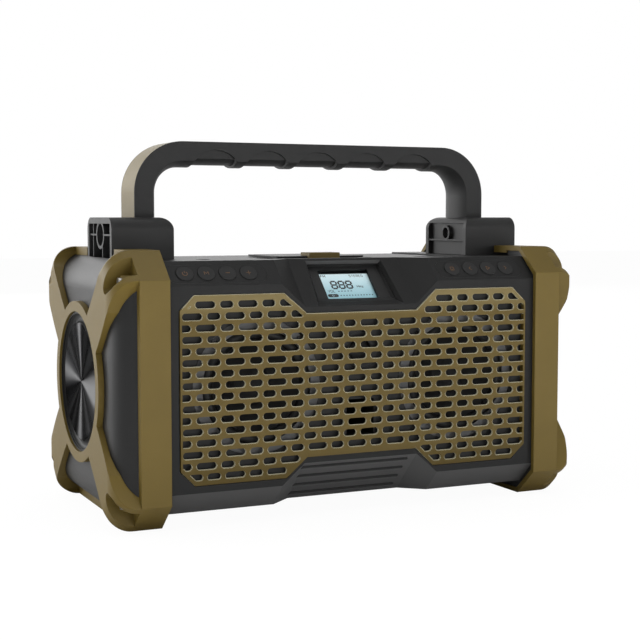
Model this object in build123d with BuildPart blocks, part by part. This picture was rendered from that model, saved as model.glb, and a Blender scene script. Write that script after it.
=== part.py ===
"""Rugged jobsite radio: speaker body, end guards, carrying handle, keys, display and port lid.

Origin: centre of the radio's footprint. X along the length, Y to the back, Z up. Millimetres.
"""

import math
import os

from build123d import *

os.makedirs("parts", exist_ok=True)

# ---- overall ------------------------------------------------------------------------------
half_length = 183.3  # centre to the outer face of a side guard
depth = 190.0
guard_height = 190.5
corner_back = 22.0  # corner cut of the guards, along the depth
corner_down = 19.5  # corner cut of the guards, along the height
joint_gap = 0.1  # play between two pieces that are fastened together
soft_gap = 0.3  # play around moving or soft pieces

# ---- end guards ---------------------------------------------------------------------------
guard_round = 18.3  # rounding between the hoop around the body and the side guard
guard_width = 39.4  # of the guard along the radio's length
hoop_wall = 3.5
guard_plate = 4.2  # thickness of the side guard over the end cap
ring_inner_radius = 50.4
ring_outer_radius = 57.8
arm_front_y = 52.0  # where the ring meets an arm's front edge
arm_top_y = 30.2  # where the ring meets an arm's upper edge
rail_gap = 3.7  # from the handle foot to the ends of the hoop's top rail
lug_length = 18.0  # thicker end of the hoop's top rail, beside the handle foot
lug_wall = 5.3

# ---- end caps -----------------------------------------------------------------------------
cap_wall = 3.0
cap_round = 25.0
cap_reach = 38.3  # from the guard's outer face to the cap's inner face
cap_flange = 3.0
cap_flange_width = 13.0
guard_screw_back = 13.5  # from the guard's front and back faces
guard_screw_down = 20.75  # from its top and bottom
guard_screw_radius = 1.7
guard_screw_head_radius = 3.2
guard_screw_head = 2.2
guard_screw_length = 18.0
guard_pad_radius = 4.6
guard_pad_sunk = 9.8  # screw pads behind the guard's outer face
guard_skin = 2.0  # walls and floor of the corner pockets
cap_boss_length = 12.0
cap_screw_back = 33.0  # from the body's front and back faces
cap_screw_boss = 4.2
cap_screw_radius = 1.6
cap_screw_head_radius = 3.0
cap_screw_head = 1.9
cap_screw_length = 12.0

# ---- body ---------------------------------------------------------------------------------
body_setback = 4.0  # of the body's front and back behind the guards
body_low_z = 9.7
body_drop = 7.5  # of the body's top below the guards
housing_wall = 3.0
band = 16.2  # sloped band along the front and back edges, measured along Y
rear_depth = 46.0  # of the rear housing
top_pod_half = 44.3  # flat middle of the deeper slope above the grille
top_pod_outer = 61.4
top_pod_drop = 16.2
low_pod_half = 44.8
low_pod_outer = 61.8
low_pod_rise = 14.7
rib_rows = 4
rib_pitch = 10.6
rib_half_length = 41.5
rib_radius = 1.6
rib_x = -4.0
top_recess = 1.2
top_recess_setback = 37.0  # behind the body's front face
top_recess_side = 8.0  # beside the handle feet
housing_boss_radius = 5.2
housing_boss_in = 35.0  # from the cap's inner face
boss_root = 0.8  # how far a boss runs into the wall beside it
housing_boss_reach = 18.0  # in front of the seam between the housings
rib_setback = 3.6  # first rib behind the front face
top_well_radius = 5.5
top_well_depth = 10.0
top_well_wall = 2.0
top_well_floor = 3.0
top_well_y = -12.0
top_well_near = 43.3
top_well_far_in = 29.2  # from the handle feet
top_screw_length = 2.8
label_width = 120.0
label_height = 44.0
label_rise = 50.3  # centre above the body's underside
label_sunk = 0.6
housing_screw_radius = 1.6
housing_screw_head_radius = 3.0
housing_screw_head = 2.0
housing_screw_length = 24.0
screw_well_depth = 34.0

# ---- grille -------------------------------------------------------------------------------
grille_side = 8.5  # from the cap's inner face
grille_low_edge = 21.3  # above the body's underside
grille_top_edge = 22.5  # below the body's top
grille_corner = 10.5
grille_top_notch = 14.5
grille_top_notch_outer = 60.0
grille_top_notch_half = 43.5
grille_low_notch = 14.0
grille_low_notch_outer = 58.5
grille_low_notch_half = 43.5
grille_sheet = 1.4
grille_proud = 1.4  # flat middle in front of the body's front face
grille_edge_sunk = 0.4
grille_bend_top = 14.0
grille_bend_low = 12.0
grille_rim = 1.1
slot_height = 4.8
slot_long = 14.4
slot_short = 9.7
slot_period = 30.87
slot_row_pitch = 7.81
slot_rows = 16
slot_first_down = 6.6  # first row's centre below the grille's top
slot_phase = 5.3  # a long slot's centre in the first row
slot_shift = -9.7  # of every second row
slot_margin_side = 1.3
slot_margin_end = 3.7
grille_reach = 10.0  # of the cuts through the grille

# ---- speaker baffle and drivers -------------------------------------------------------------
baffle_thickness = 5.0
baffle_margin = 1.2
woofer_in = 57.5  # from the grille's side
woofer_rise = 0.45  # above the grille's middle
woofer_flange_radius = 47.3
woofer_flange = 2.0
woofer_seat_depth = 2.4
woofer_hole_radius = 42.5
woofer_ring_inner = 40.3
basket_depth = 30.0
basket_wall = 1.5
magnet_radius = 30.0
magnet_depth = 15.0
magnet_plate = 3.0  # behind the pole
magnet_face = 4.0  # narrower ends of the magnet
magnet_step = 1.0
pole_radius = 11.0
cone_radius = 33.0
cone_thickness = 0.9
cone_depth = 15.0
coil_radius = 12.5
coil_former_wall = 0.5
surround_roll = 2.6
speaker_screw_circle = 44.9
speaker_screw_radius = 1.3
speaker_screw_head_radius = 2.2
speaker_screw_head = 1.2
speaker_screw_length = 6.0
basket_collar = 4.0
basket_windows = 6
basket_window_length = 12.0
basket_window_width = 20.0
basket_window_corner = 2.5
coil_gap_radius = 14.0
coil_clearance = 3.0
pole_lead = 1.0
cone_setback = 0.5
dust_cap_radius = 15.0
dust_cap_rise = 6.0
tweeter_rise = 21.8  # above the woofers
tweeter_radius = 13.4
tweeter_ring = 2.0
tweeter_dome_radius = 8.5
tweeter_body_radius = 11.2
tweeter_depth = 14.0
tweeter_cup = 4.5
tweeter_ring_flat = 1.2
tweeter_ring_dip = 0.6
tweeter_dome_rise = 3.8
port_half_width = 12.6
port_height = 30.0
port_drop = 26.2  # centre below the woofers
port_corner = 3.0
port_wall = 1.8
port_length = 42.0

# ---- passive radiators in the ends ----------------------------------------------------------
radiator_disc_radius = 42.2
radiator_sunk = 2.3  # disc behind the guard's outer face
radiator_disc = 1.8
radiator_weight_radius = 30.0
radiator_weight = 5.0
radiator_rim_inner = 48.8
radiator_flange_radius = 56.0
radiator_flange = 2.0
surround_thickness = 0.8
surround_sag = 2.8  # deepest point behind the face of the disc
radiator_rim = 3.0
radiator_dish = 1.2
radiator_hub_radius = 9.0
radiator_lip = 0.6  # frame in front of the disc
radiator_edge = 0.5  # chamfer of the disc
surround_sunk = 0.4

# ---- display --------------------------------------------------------------------------------
display_x = -1.0
display_top_half = 30.2  # mouth of the recess on the slope
display_low_half = 33.9
display_low_up = 0.6
display_top_up = 43.4
recess_top_half = 27.7  # floor of the recess
recess_low_half = 29.0
recess_low_up = 11.0
recess_top_up = 42.0
recess_depth = 5.0
display_bezel = 2.0
lcd_half_width = 20.0
lcd_height = 28.0
lcd_centre_up = 25.0
lcd_glass = 1.0
lcd_panel = 2.5
lcd_margin = 3.0
bezel_half = 36.0
bezel_mid_up = 24.5  # along the slope
bezel_height = 40.0

# ---- keys -----------------------------------------------------------------------------------
key_radius = 6.2
key_pitch = 15.4
key_row_left_in = 29.7  # middle of the left keys, from the grille's side
key_row_right_in = 35.7
key_up = 10.8  # centre of the keys along the slope
key_proud = 0.7
key_flange_radius = 7.0
key_flange = 1.1
key_stem_radius = 2.0
key_plate_length = 73.0
key_plate_width = 16.6
key_plate_back = 1.2
key_plate_overhang = 1.0
key_post_radius = 1.8
key_web = 1.5  # of the plate around each key
key_post_root = 0.2
key_play = 0.1
key_stem_end = 5.0
key_switch_height = 2.0
key_switch_nub = 1.2
key_board_depth = 11.0
key_board = 1.5
key_board_short = 4.0  # than the key plate
key_board_narrow = 2.6
key_edge = 0.4
key_switch_side = 5.0

# ---- handle ---------------------------------------------------------------------------------
handle_rise = 84.3  # above the body's top
leg_setback = 21.5  # of the handle's legs from the outer end of their feet
handle_depth = 32.5
handle_y = -0.5
handle_thick = 18.3
handle_edge_thick = 14.0
handle_bend = 37.0
strip_lip = 0.6  # grip left on each side of the strip
strip_thickness = 2.0
groove_count = 5
groove_pitch = 41.0
groove_half_length = 17.0
groove_rise = 12.5
groove_depth = 1.8
foot_length = 45.5
foot_overhang = 0.5  # past the start of the guard's rounding
foot_front = 32.0  # of the handle's middle
foot_back = 31.2
foot_height = 29.6
foot_round = 9.0
foot_wall = 4.5
foot_pocket = 18.0
foot_rib_y = 17.3
foot_low_rib_y = -6.3
foot_inner_rib_rise = 11.4  # above the body's top
foot_screw_length = 15.0
foot_inner_pocket = 3.4
foot_rib = 1.3
foot_rib_sunk = 0.8  # ribs behind the foot's outer face
foot_inner_rib_sunk = 0.4
foot_low_rib = 10.0
foot_boss_rise = 17.1  # above the body's top
foot_boss_radius = 10.2
foot_boss_bore = 8.0
foot_inner_boss_radius = 6.2
foot_inner_boss_bore = 4.3
leg_gap = 6.0  # under the handle's legs
handle_bolt_radius = 3.0
handle_bolt_head_radius = 5.5
handle_bolt_head = 3.5
handle_bolt_short = 0.5  # of the foot's inner pocket
foot_screw_radius = 2.0
foot_screw_head_radius = 3.8
foot_screw_head = 2.4
foot_screw_in = 14.0  # from the inner end of the foot
foot_screw_y = 21.5  # to each side of the handle's middle

# ---- port lid and tray ----------------------------------------------------------------------
lid_half = 36.0
lid_length = 60.0
lid_from_seam = 9.0  # back of the lid in front of the seam between the housings
lid_thickness = 1.6
lid_corner = 4.0
lid_rim = 4.0
lid_rim_wall = 1.6
lid_lift = 0.3  # above the deck
lid_knuckle_relief = 1.0
rim_gap = 0.5
lid_pin_radius = 1.0
lid_pin_bore = 1.05
lid_knuckle_radius = 2.0
lid_axis_back = 2.5  # behind the lid
lid_knuckle_in = 20.0
lid_knuckle_out = 30.0
tray_inset = 2.0  # of the tray's sides inside the lid's edge
tray_wall = 2.0
tray_depth = 22.0
tray_flange = 2.0
tray_flange_width = 1.6
ear_root = 5.0  # height of the hinge ears' foot
latch_half = 12.5
latch_lead = 4.3  # front of the latch before the lid
latch_length = 16.3
latch_height = 4.2
latch_wall = 1.2
latch_front_wall = 1.0
latch_toe = 1.1
latch_toe_height = 0.8
latch_roof = 1.8
latch_travel = 2.0
latch_edge = 0.8
latch_rows = 4
latch_row_pitch = 2.4
latch_row_start = 3.0
latch_ridge = 0.5
latch_pin_x = 7.0
latch_pin_radius = 1.2
latch_pin_head = 1.9
latch_pin_head_height = 0.9
latch_pin_back = 3.2  # from the latch's back
keeper_half = 9.0
keeper_post = 1.3
keeper_lip = 1.0
keeper_lip_height = 0.9
socket_sheet = 0.6
socket_width = 13.1
socket_height = 5.7
socket_length = 12.0
socket_rise = 11.2  # above the tray's floor
socket_xs = [-18.0, 0.0]
socket_base = 1.0
jack_x = 17.0
jack_radius = 4.0
jack_wall = 1.4

# ---- inside ---------------------------------------------------------------------------------
board_half = 62.0
board_rise = 64.3  # above the body's underside
board_height = 76.0
board_setback = 21.0  # in front of the body's back
board_thickness = 1.6
board_post_radius = 3.0
board_post_root = 0.5
board_hole_inset = 6.0
board_pin_radius = 1.4
chip_side = 12.0
chip_height = 1.6
chip_rise = 46.0  # above the board's lower edge
chip_xs = [-30.0, 0.0, 30.0]
capacitor_radius = 5.0
capacitor_height = 14.0
capacitor_rise = 16.0
capacitor_xs = [-40.0, -20.0, 20.0, 40.0]
sink_half = 38.0
sink_base = 3.0
sink_rise = 32.0  # above the board's lower edge
sink_height = 28.0
sink_fins = 10
sink_fin = 1.6
sink_fin_depth = 12.0
battery_cells = 3
battery_cell_radius = 9.1
battery_cell_length = 65.0
battery_cell_gap = 1.0
battery_floor = 2.0
battery_y = 20.0
cradle_end = 4.0  # past the cells

slope = math.sqrt(2)
left = -1
right = 1

# ---- places that follow from the sizes --------------------------------------------------------
mid_z = guard_height / 2
hoop_outer_x = half_length - guard_round
hoop_inner_x = half_length - guard_width
guard_pad_x = half_length - guard_pad_sunk
cap_outer_x = half_length - guard_plate - joint_gap
cap_inner_x = half_length - cap_reach
cap_inset = hoop_wall + joint_gap
radiator_disc_x = half_length - radiator_sunk
body_front_y = -depth / 2 + body_setback
body_back_y = depth / 2 - body_setback
body_top_z = guard_height - body_drop
split_y = body_back_y - rear_depth
housing_boss_x = cap_inner_x - housing_boss_in
housing_boss_front_y = split_y - housing_boss_reach
cap_screw_y = body_back_y - cap_screw_back
foot_outer_x = hoop_outer_x + foot_overhang
foot_inner_x = foot_outer_x - foot_length
foot_front_y = handle_y - foot_front
foot_back_y = handle_y + foot_back
foot_top_z = body_top_z + foot_height
foot_boss_z = body_top_z + foot_boss_rise
foot_inner_rib_z = body_top_z + foot_inner_rib_rise
foot_screw_x = foot_inner_x + foot_screw_in
foot_screw_spots = [
    (x, handle_y + y)
    for x in (-foot_screw_x, foot_screw_x)
    for y in (-foot_screw_y, foot_screw_y)
]
rail_cut_front = foot_front_y - rail_gap
rail_cut_back = foot_back_y + rail_gap
handle_outer_x = foot_outer_x - leg_setback
handle_top_z = body_top_z + handle_rise
leg_low_z = body_top_z + leg_gap
top_recess_front_y = body_front_y + top_recess_setback
top_recess_half = foot_inner_x - top_recess_side
top_well_far = foot_inner_x - top_well_far_in
top_well_spots = [(x, top_well_y) for x in (-top_well_far, -top_well_near, top_well_near, top_well_far)]
recess_z = body_top_z - top_recess
grille_half = cap_inner_x - grille_side
grille_low_z = body_low_z + grille_low_edge
grille_top_z = body_top_z - grille_top_edge
grille_low_notch_z = grille_low_z + grille_low_notch
grille_top_notch_z = grille_top_z - grille_top_notch
woofer_x = grille_half - woofer_in
woofer_z = (grille_low_z + grille_top_z) / 2 + woofer_rise
tweeter_z = woofer_z + tweeter_rise
port_mid_z = woofer_z - port_drop
key_row_left_x = key_row_left_in - grille_half
key_row_right_x = grille_half - key_row_right_in
lid_back_y = split_y - lid_from_seam
lid_front_y = lid_back_y - lid_length
lid_axis_y = lid_back_y + lid_axis_back
lid_low_z = recess_z + lid_lift
lid_top_z = lid_low_z + lid_thickness
lid_axis_z = lid_top_z - lid_knuckle_radius
tray_half = lid_half - tray_inset
tray_front_y = lid_front_y + tray_inset
tray_back_y = lid_back_y - tray_inset
tray_low_z = recess_z - tray_depth
latch_front_y = lid_front_y - latch_lead
latch_back_y = latch_front_y + latch_length
latch_low_z = recess_z + soft_gap
latch_top_z = latch_low_z + latch_height
keeper_back_y = latch_front_y + latch_front_wall + latch_toe + soft_gap + keeper_post
keeper_lip_z = latch_low_z + latch_toe_height + soft_gap
board_y = body_back_y - board_setback
board_low_z = body_low_z + board_rise
board_high_z = board_low_z + board_height
sink_low_z = board_low_z + sink_rise


# ---- helpers --------------------------------------------------------------------------------
def save(piece, name):
    """Label a finished piece and write its STEP file."""
    piece.label = name
    export_step(piece, f"parts/{name}.step")


def facing_front(y):
    """Plane across the radio at y: sketch x is X, sketch y is Z, normal to the front."""
    return Plane(origin=(0, y, 0), x_dir=(1, 0, 0), z_dir=(0, -1, 0))


def across(x):
    """Plane across the length at x: sketch x is Y, sketch y is Z, normal +X."""
    return Plane(origin=(x, 0, 0), x_dir=(0, 1, 0), z_dir=(1, 0, 0))


def octagon(x, inset):
    """Corner-cut section of the guards at x, drawn inside the outline by inset."""
    with BuildSketch(across(x)) as section:
        with BuildLine():
            Polyline(
                (-depth / 2, corner_down),
                (-depth / 2 + corner_back, 0),
                (depth / 2 - corner_back, 0),
                (depth / 2, corner_down),
                (depth / 2, guard_height - corner_down),
                (depth / 2 - corner_back, guard_height),
                (-depth / 2 + corner_back, guard_height),
                (-depth / 2, guard_height - corner_down),
                close=True,
            )
        make_face()
        if inset > 0:
            offset(amount=-inset, kind=Kind.INTERSECTION)
    return section.sketch


def end_form(outer_x, inner_x, inset, rounding):
    """Solid left end of the radio, from inner_x out to outer_x, with its outer edge rounded."""
    section = octagon(-outer_x, inset)
    with BuildPart() as form:
        extrude(section, amount=outer_x - inner_x)
        fillet(form.faces().sort_by(Axis.X)[0].edges(), radius=rounding)
    return form.part


def slope_cut(points, rise):
    """Everything above (rise 1) or below (rise -1) a front outline that runs back at 45 degrees."""
    lead = 2.0
    far = 120.0
    with BuildSketch(facing_front(body_front_y - lead)) as outline:
        with BuildLine():
            Polyline(
                *[(x, z - rise * lead) for x, z in points],
                (points[-1][0], points[-1][1] + rise * far),
                (points[0][0], points[0][1] + rise * far),
                close=True,
            )
        make_face()
    with BuildPart() as cut:
        extrude(outline.sketch, amount=far * slope, dir=(0, 1, rise))
    return cut.part


def body_form(wall, drop):
    """Body between the end caps, smaller all round by wall, with its slopes lowered by drop."""
    reach = cap_inner_x + (1.0 if wall > 0 else 0.0)
    high = body_top_z - band
    low = body_low_z + band
    top_line = [
        (-reach - 1, high - drop),
        (-top_pod_outer, high - drop),
        (-top_pod_half, high - top_pod_drop - drop),
        (top_pod_half, high - top_pod_drop - drop),
        (top_pod_outer, high - drop),
        (reach + 1, high - drop),
    ]
    low_line = [
        (-reach - 1, low + drop),
        (-low_pod_outer, low + drop),
        (-low_pod_half, low + low_pod_rise + drop),
        (low_pod_half, low + low_pod_rise + drop),
        (low_pod_outer, low + drop),
        (reach + 1, low + drop),
    ]
    top_cut = slope_cut(top_line, 1)
    low_cut = slope_cut(low_line, -1)
    with BuildSketch(across(-reach)) as section:
        with BuildLine():
            Polyline(
                (body_front_y + wall, body_low_z + wall),
                (body_back_y - band, body_low_z + wall),
                (body_back_y - wall, low + wall / 2),
                (body_back_y - wall, high - wall / 2),
                (body_back_y - band, body_top_z - wall),
                (body_front_y + wall, body_top_z - wall),
                close=True,
            )
        make_face()
    with BuildPart() as form:
        extrude(section.sketch, amount=2 * reach)
        add(top_cut, mode=Mode.SUBTRACT)
        add(low_cut, mode=Mode.SUBTRACT)
    return form.part


def grille_outline(y, margin):
    """Outline of the grille on a plane at y, larger all round by margin."""
    with BuildSketch(facing_front(y)) as outline:
        with BuildLine():
            Polyline(
                (-grille_half, grille_low_z + grille_corner),
                (-grille_half + grille_corner, grille_low_z),
                (-grille_low_notch_outer, grille_low_z),
                (-grille_low_notch_half, grille_low_notch_z),
                (grille_low_notch_half, grille_low_notch_z),
                (grille_low_notch_outer, grille_low_z),
                (grille_half - grille_corner, grille_low_z),
                (grille_half, grille_low_z + grille_corner),
                (grille_half, grille_top_z - grille_corner),
                (grille_half - grille_corner, grille_top_z),
                (grille_top_notch_outer, grille_top_z),
                (grille_top_notch_half, grille_top_notch_z),
                (-grille_top_notch_half, grille_top_notch_z),
                (-grille_top_notch_outer, grille_top_z),
                (-grille_half + grille_corner, grille_top_z),
                (-grille_half, grille_top_z - grille_corner),
                close=True,
            )
        make_face()
        if margin != 0:
            offset(amount=margin, kind=Kind.INTERSECTION)
    return outline.sketch


def block(low, high):
    """Plain box between two corners."""
    centre = tuple((a + b) / 2 for a, b in zip(low, high))
    with BuildPart() as solid:
        with Locations(centre):
            Box(*(b - a for a, b in zip(low, high)))
    return solid.part


def rod(plane, spots, radius, length):
    """Equal round rods that start on a plane at the given spots."""
    with BuildPart() as rods:
        with BuildSketch(plane):
            with Locations(*spots):
                Circle(radius)
        extrude(amount=length)
    return rods.part


# ---- slopes that carry the display and the keys ----------------------------------------------
def on_band(depth_in):
    """Plane on the upper front band: sketch x is X, sketch y runs up the slope from its foot."""
    inward = depth_in / slope
    return Plane(
        origin=(0, body_front_y + inward, body_top_z - band - inward),
        x_dir=(1, 0, 0),
        z_dir=(0, -1, 1),
    )


def on_pod(depth_in):
    """Plane on the display slope, the same way."""
    inward = depth_in / slope
    return Plane(
        origin=(0, body_front_y + inward, body_top_z - band - top_pod_drop - inward),
        x_dir=(1, 0, 0),
        z_dir=(0, -1, 1),
    )


def key_centres(row_x):
    """Four key centres of one row, on the band's plane."""
    return [(row_x + (i - 1.5) * key_pitch, key_up) for i in range(4)]


def other_side(piece):
    """The same piece at the other end of the radio."""
    with BuildPart() as opposite:
        mirror(piece, about=Plane.YZ)
    return opposite.part


def on_both_sides(piece):
    """A piece together with its twin at the other end of the radio."""
    with BuildPart() as pair:
        add(piece)
        mirror(piece, about=Plane.YZ)
    return pair.part


def screws(plane, spots, head, length):
    """Socket screws seated on a plane: head is (radius, height), the shanks run back into the plane."""
    head_radius, head_height, shank_radius = head
    with BuildPart() as fasteners:
        with BuildSketch(plane):
            with Locations(*spots):
                Circle(head_radius)
        extrude(amount=head_height)
        with BuildSketch(plane):
            with Locations(*spots):
                Circle(shank_radius)
        extrude(amount=-length)
        with BuildSketch(plane.offset(head_height)):
            with Locations(*spots):
                RegularPolygon(radius=head_radius * 0.5, side_count=6)
        extrude(amount=-head_height * 0.6, mode=Mode.SUBTRACT)
    return fasteners.part


# ---- end guards -----------------------------------------------------------------------------
arm_front_rise = math.sqrt(ring_outer_radius**2 - arm_front_y**2)
arm_top_rise = math.sqrt(ring_outer_radius**2 - arm_top_y**2)


def from_corner(back, down):
    """Point on the side of a guard, from its upper front corner."""
    return (-depth / 2 + back, guard_height - down)


def below(point):
    """The point mirrored about mid height."""
    return (point[0], 2 * mid_z - point[1])


arm_front_foot = (-arm_front_y, mid_z + arm_front_rise)
arm_front_bend = from_corner(28.0, 55.7)
arm_front_waist = from_corner(14.7, 40.7)
arm_front_curve = from_corner(9.5, 31.3)
arm_front_end = from_corner(-3.0, 16.2)
arm_top_foot = (-arm_top_y, mid_z + arm_top_rise)
arm_top_bend = from_corner(48.0, 30.9)
arm_top_waist = from_corner(31.9, 14.9)
arm_top_curve = from_corner(26.8, 8.9)
arm_top_hook = from_corner(25.6, 3.3)
arm_top_end = from_corner(30.5, -2.0)
pocket_start = from_corner(5.1, 16.6)
pocket_front_bend = from_corner(9.4, 24.5)
pocket_toe = from_corner(15.6, 28.3)
pocket_low_bend = from_corner(20.0, 28.1)
pocket_heel = from_corner(22.0, 24.7)
pocket_back_bend = from_corner(20.0, 14.5)
pocket_end = from_corner(17.1, 4.5)
pocket_run = 9.0  # carries a pocket's outline out past the guard's corner cut
hoop_cut = guard_round + 1

with BuildSketch(across(-half_length - 1)) as guard_windows:
    with BuildLine():
        ThreePointArc(arm_front_end, arm_front_curve, arm_front_waist)
        ThreePointArc(arm_front_waist, arm_front_bend, arm_front_foot)
        ThreePointArc(arm_front_foot, (-ring_outer_radius, mid_z), below(arm_front_foot))
        ThreePointArc(below(arm_front_foot), below(arm_front_bend), below(arm_front_waist))
        ThreePointArc(below(arm_front_waist), below(arm_front_curve), below(arm_front_end))
        Line(below(arm_front_end), arm_front_end)
    make_face()
    with BuildLine():
        ThreePointArc(arm_top_foot, arm_top_bend, arm_top_waist)
        ThreePointArc(arm_top_waist, arm_top_curve, arm_top_hook)
        Line(arm_top_hook, arm_top_end)
        mirror(about=Plane.YZ)
        Line(arm_top_end, (-arm_top_end[0], arm_top_end[1]))
        ThreePointArc(arm_top_foot, (0, mid_z + ring_outer_radius), (arm_top_y, arm_top_foot[1]))
    make_face()

with BuildPart() as window_cutter:
    extrude(guard_windows.sketch, amount=hoop_cut)
    mirror(about=Plane.XZ)
    mirror(about=Plane.XY.offset(mid_z))
    with BuildSketch(across(-half_length - 1)):
        with Locations((0, mid_z)):
            Circle(ring_inner_radius)
    extrude(amount=hoop_cut)


def pocket_outline(x, growth):
    """Crescent pockets at the four corners of a guard, grown all round, drawn at x."""
    with BuildSketch(across(x)) as outline:
        with BuildLine():
            ThreePointArc(pocket_start, pocket_front_bend, pocket_toe)
            ThreePointArc(pocket_toe, pocket_low_bend, pocket_heel)
            ThreePointArc(pocket_heel, pocket_back_bend, pocket_end)
            Polyline(
                pocket_end,
                (pocket_end[0] - pocket_run, pocket_end[1] + pocket_run),
                (pocket_start[0] - pocket_run, pocket_start[1] + pocket_run),
                pocket_start,
            )
        make_face()
        if growth > 0:
            offset(amount=growth)
    return outline.sketch


def pockets(floor_x, growth):
    """The pockets as solids, from their floor out past the side of the radio."""
    outline = pocket_outline(-half_length - 1, growth)
    with BuildPart() as solids:
        extrude(outline, amount=half_length + 1 - floor_x)
        mirror(about=Plane.XZ)
        mirror(about=Plane.XY.offset(mid_z))
    return solids.part


guard_screw_y = depth / 2 - guard_screw_back
guard_spots = [
    (y, z)
    for y in (-guard_screw_y, guard_screw_y)
    for z in (guard_screw_down, guard_height - guard_screw_down)
]
guard_outer = end_form(half_length, hoop_inner_x, 0, guard_round)
pocket_floor_x = hoop_outer_x - guard_skin
pad_height = guard_pad_x - pocket_floor_x
tub_walls = pockets(pocket_floor_x, guard_skin)
tub_hollows = pockets(hoop_outer_x, 0)
guard_pads = rod(across(-guard_pad_x), guard_spots, guard_pad_radius, pad_height)
guard_bores = rod(across(-guard_pad_x - 1), guard_spots, guard_screw_radius + joint_gap, pad_height + 2)
cap_space = end_form(cap_outer_x + joint_gap, hoop_inner_x - 1, hoop_wall, cap_round + joint_gap)
rail_cut = block(
    (-hoop_outer_x - 1.0, rail_cut_front, body_top_z),
    (-hoop_inner_x + 1, rail_cut_back, guard_height + 1),
)
rail_lug = block(
    (-hoop_outer_x, rail_cut_front - lug_length, guard_height - lug_wall),
    (-hoop_inner_x, rail_cut_front, guard_height),
)

with BuildPart() as tubs:
    add(guard_outer)
    add(tub_walls, mode=Mode.INTERSECT)
with BuildPart() as left_guard:
    add(guard_outer)
    add(cap_space, mode=Mode.SUBTRACT)
    add(window_cutter.part, mode=Mode.SUBTRACT)
    add(tubs.part)
    add(tub_hollows, mode=Mode.SUBTRACT)
    add(guard_pads)
    add(guard_bores, mode=Mode.SUBTRACT)
    add(rail_cut, mode=Mode.SUBTRACT)
    add(rail_lug)
save(left_guard.part, "left_guard")
right_guard = other_side(left_guard.part)
save(right_guard, "right_guard")

guard_head = (guard_screw_head_radius, guard_screw_head, guard_screw_radius)
guard_screws = screws(
    Plane(origin=(-guard_pad_x, 0, 0), x_dir=(0, -1, 0), z_dir=(-1, 0, 0)),
    [(-y, z) for y, z in guard_spots],
    guard_head,
    guard_screw_length,
)
save(on_both_sides(guard_screws), "guard_screws")

# ---- end caps -------------------------------------------------------------------------------
cap_outer = end_form(cap_outer_x, cap_inner_x, cap_inset, cap_round)
cap_hollow = end_form(
    cap_outer_x - cap_wall, cap_inner_x + cap_flange, cap_inset + cap_wall, cap_round - cap_wall
)
step_front_y = rail_cut_front - lug_length - soft_gap
step_back_y = foot_back_y + soft_gap
step_x = foot_outer_x + joint_gap
cap_step = block((-step_x, step_front_y, body_top_z), (-cap_inner_x + 1, step_back_y, guard_height))
cap_step_wall = block(
    (-step_x - cap_wall, step_front_y - cap_wall, body_top_z - cap_wall),
    (-cap_inner_x + 1, step_back_y + cap_wall, guard_height),
)
cap_floor_x = pocket_floor_x - joint_gap
cap_bosses = rod(across(-cap_floor_x), guard_spots, guard_pad_radius, cap_floor_x - cap_inner_x)
cap_recesses = pockets(cap_floor_x, guard_skin + joint_gap)
cap_recess_walls = pockets(cap_floor_x - cap_wall, guard_skin + joint_gap + cap_wall)
cap_bores = rod(
    across(-pocket_floor_x), guard_spots, guard_screw_radius + joint_gap / 2, cap_boss_length + 2
)
cap_screw_spots = [
    (y, z)
    for y in (-cap_screw_y, cap_screw_y)
    for z in (
        body_low_z + housing_wall + cap_screw_boss - boss_root,
        body_top_z - housing_wall - cap_screw_boss + boss_root,
    )
]
cap_screw_holes = rod(
    across(-cap_inner_x - cap_flange - 1), cap_screw_spots, cap_screw_radius + joint_gap, cap_flange + 2
)
cap_opening = octagon(-cap_inner_x - cap_flange - 1, cap_inset + cap_flange_width)

with BuildPart() as cap_room:
    add(cap_hollow)
    add(cap_step_wall, mode=Mode.SUBTRACT)
    add(cap_recess_walls, mode=Mode.SUBTRACT)
with BuildPart() as left_end_cap:
    add(cap_outer)
    add(cap_room.part, mode=Mode.SUBTRACT)
    extrude(cap_opening, amount=cap_flange + 2, mode=Mode.SUBTRACT)
    add(cap_bosses)
    add(cap_outer, mode=Mode.INTERSECT)
    add(cap_step, mode=Mode.SUBTRACT)
    add(cap_recesses, mode=Mode.SUBTRACT)
    add(cap_bores, mode=Mode.SUBTRACT)
    add(cap_screw_holes, mode=Mode.SUBTRACT)
    with BuildSketch(across(-half_length)):
        with Locations((0, mid_z)):
            Circle(ring_inner_radius - joint_gap)
    extrude(amount=half_length - cap_outer_x + cap_wall + 1, mode=Mode.SUBTRACT)
save(left_end_cap.part, "left_end_cap")
save(other_side(left_end_cap.part), "right_end_cap")

cap_screws = screws(
    Plane(origin=(-cap_inner_x - cap_flange, 0, 0), x_dir=(0, -1, 0), z_dir=(-1, 0, 0)),
    [(-y, z) for y, z in cap_screw_spots],
    (cap_screw_head_radius, cap_screw_head, cap_screw_radius),
    cap_screw_length,
)
save(on_both_sides(cap_screws), "cap_screws")


# ---- passive radiators ----------------------------------------------------------------------
radiator_axis = Axis((0, 0, mid_z), (1, 0, 0))


def turned(profile_points):
    """Ring or disc turned about the middle of the end: points are (x, radius)."""
    with BuildPart() as ring:
        with BuildSketch(Plane.XZ):
            with BuildLine():
                Polyline(*[(x, mid_z + radius) for x, radius in profile_points], close=True)
            make_face()
        revolve(axis=radiator_axis)
    return ring.part


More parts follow.
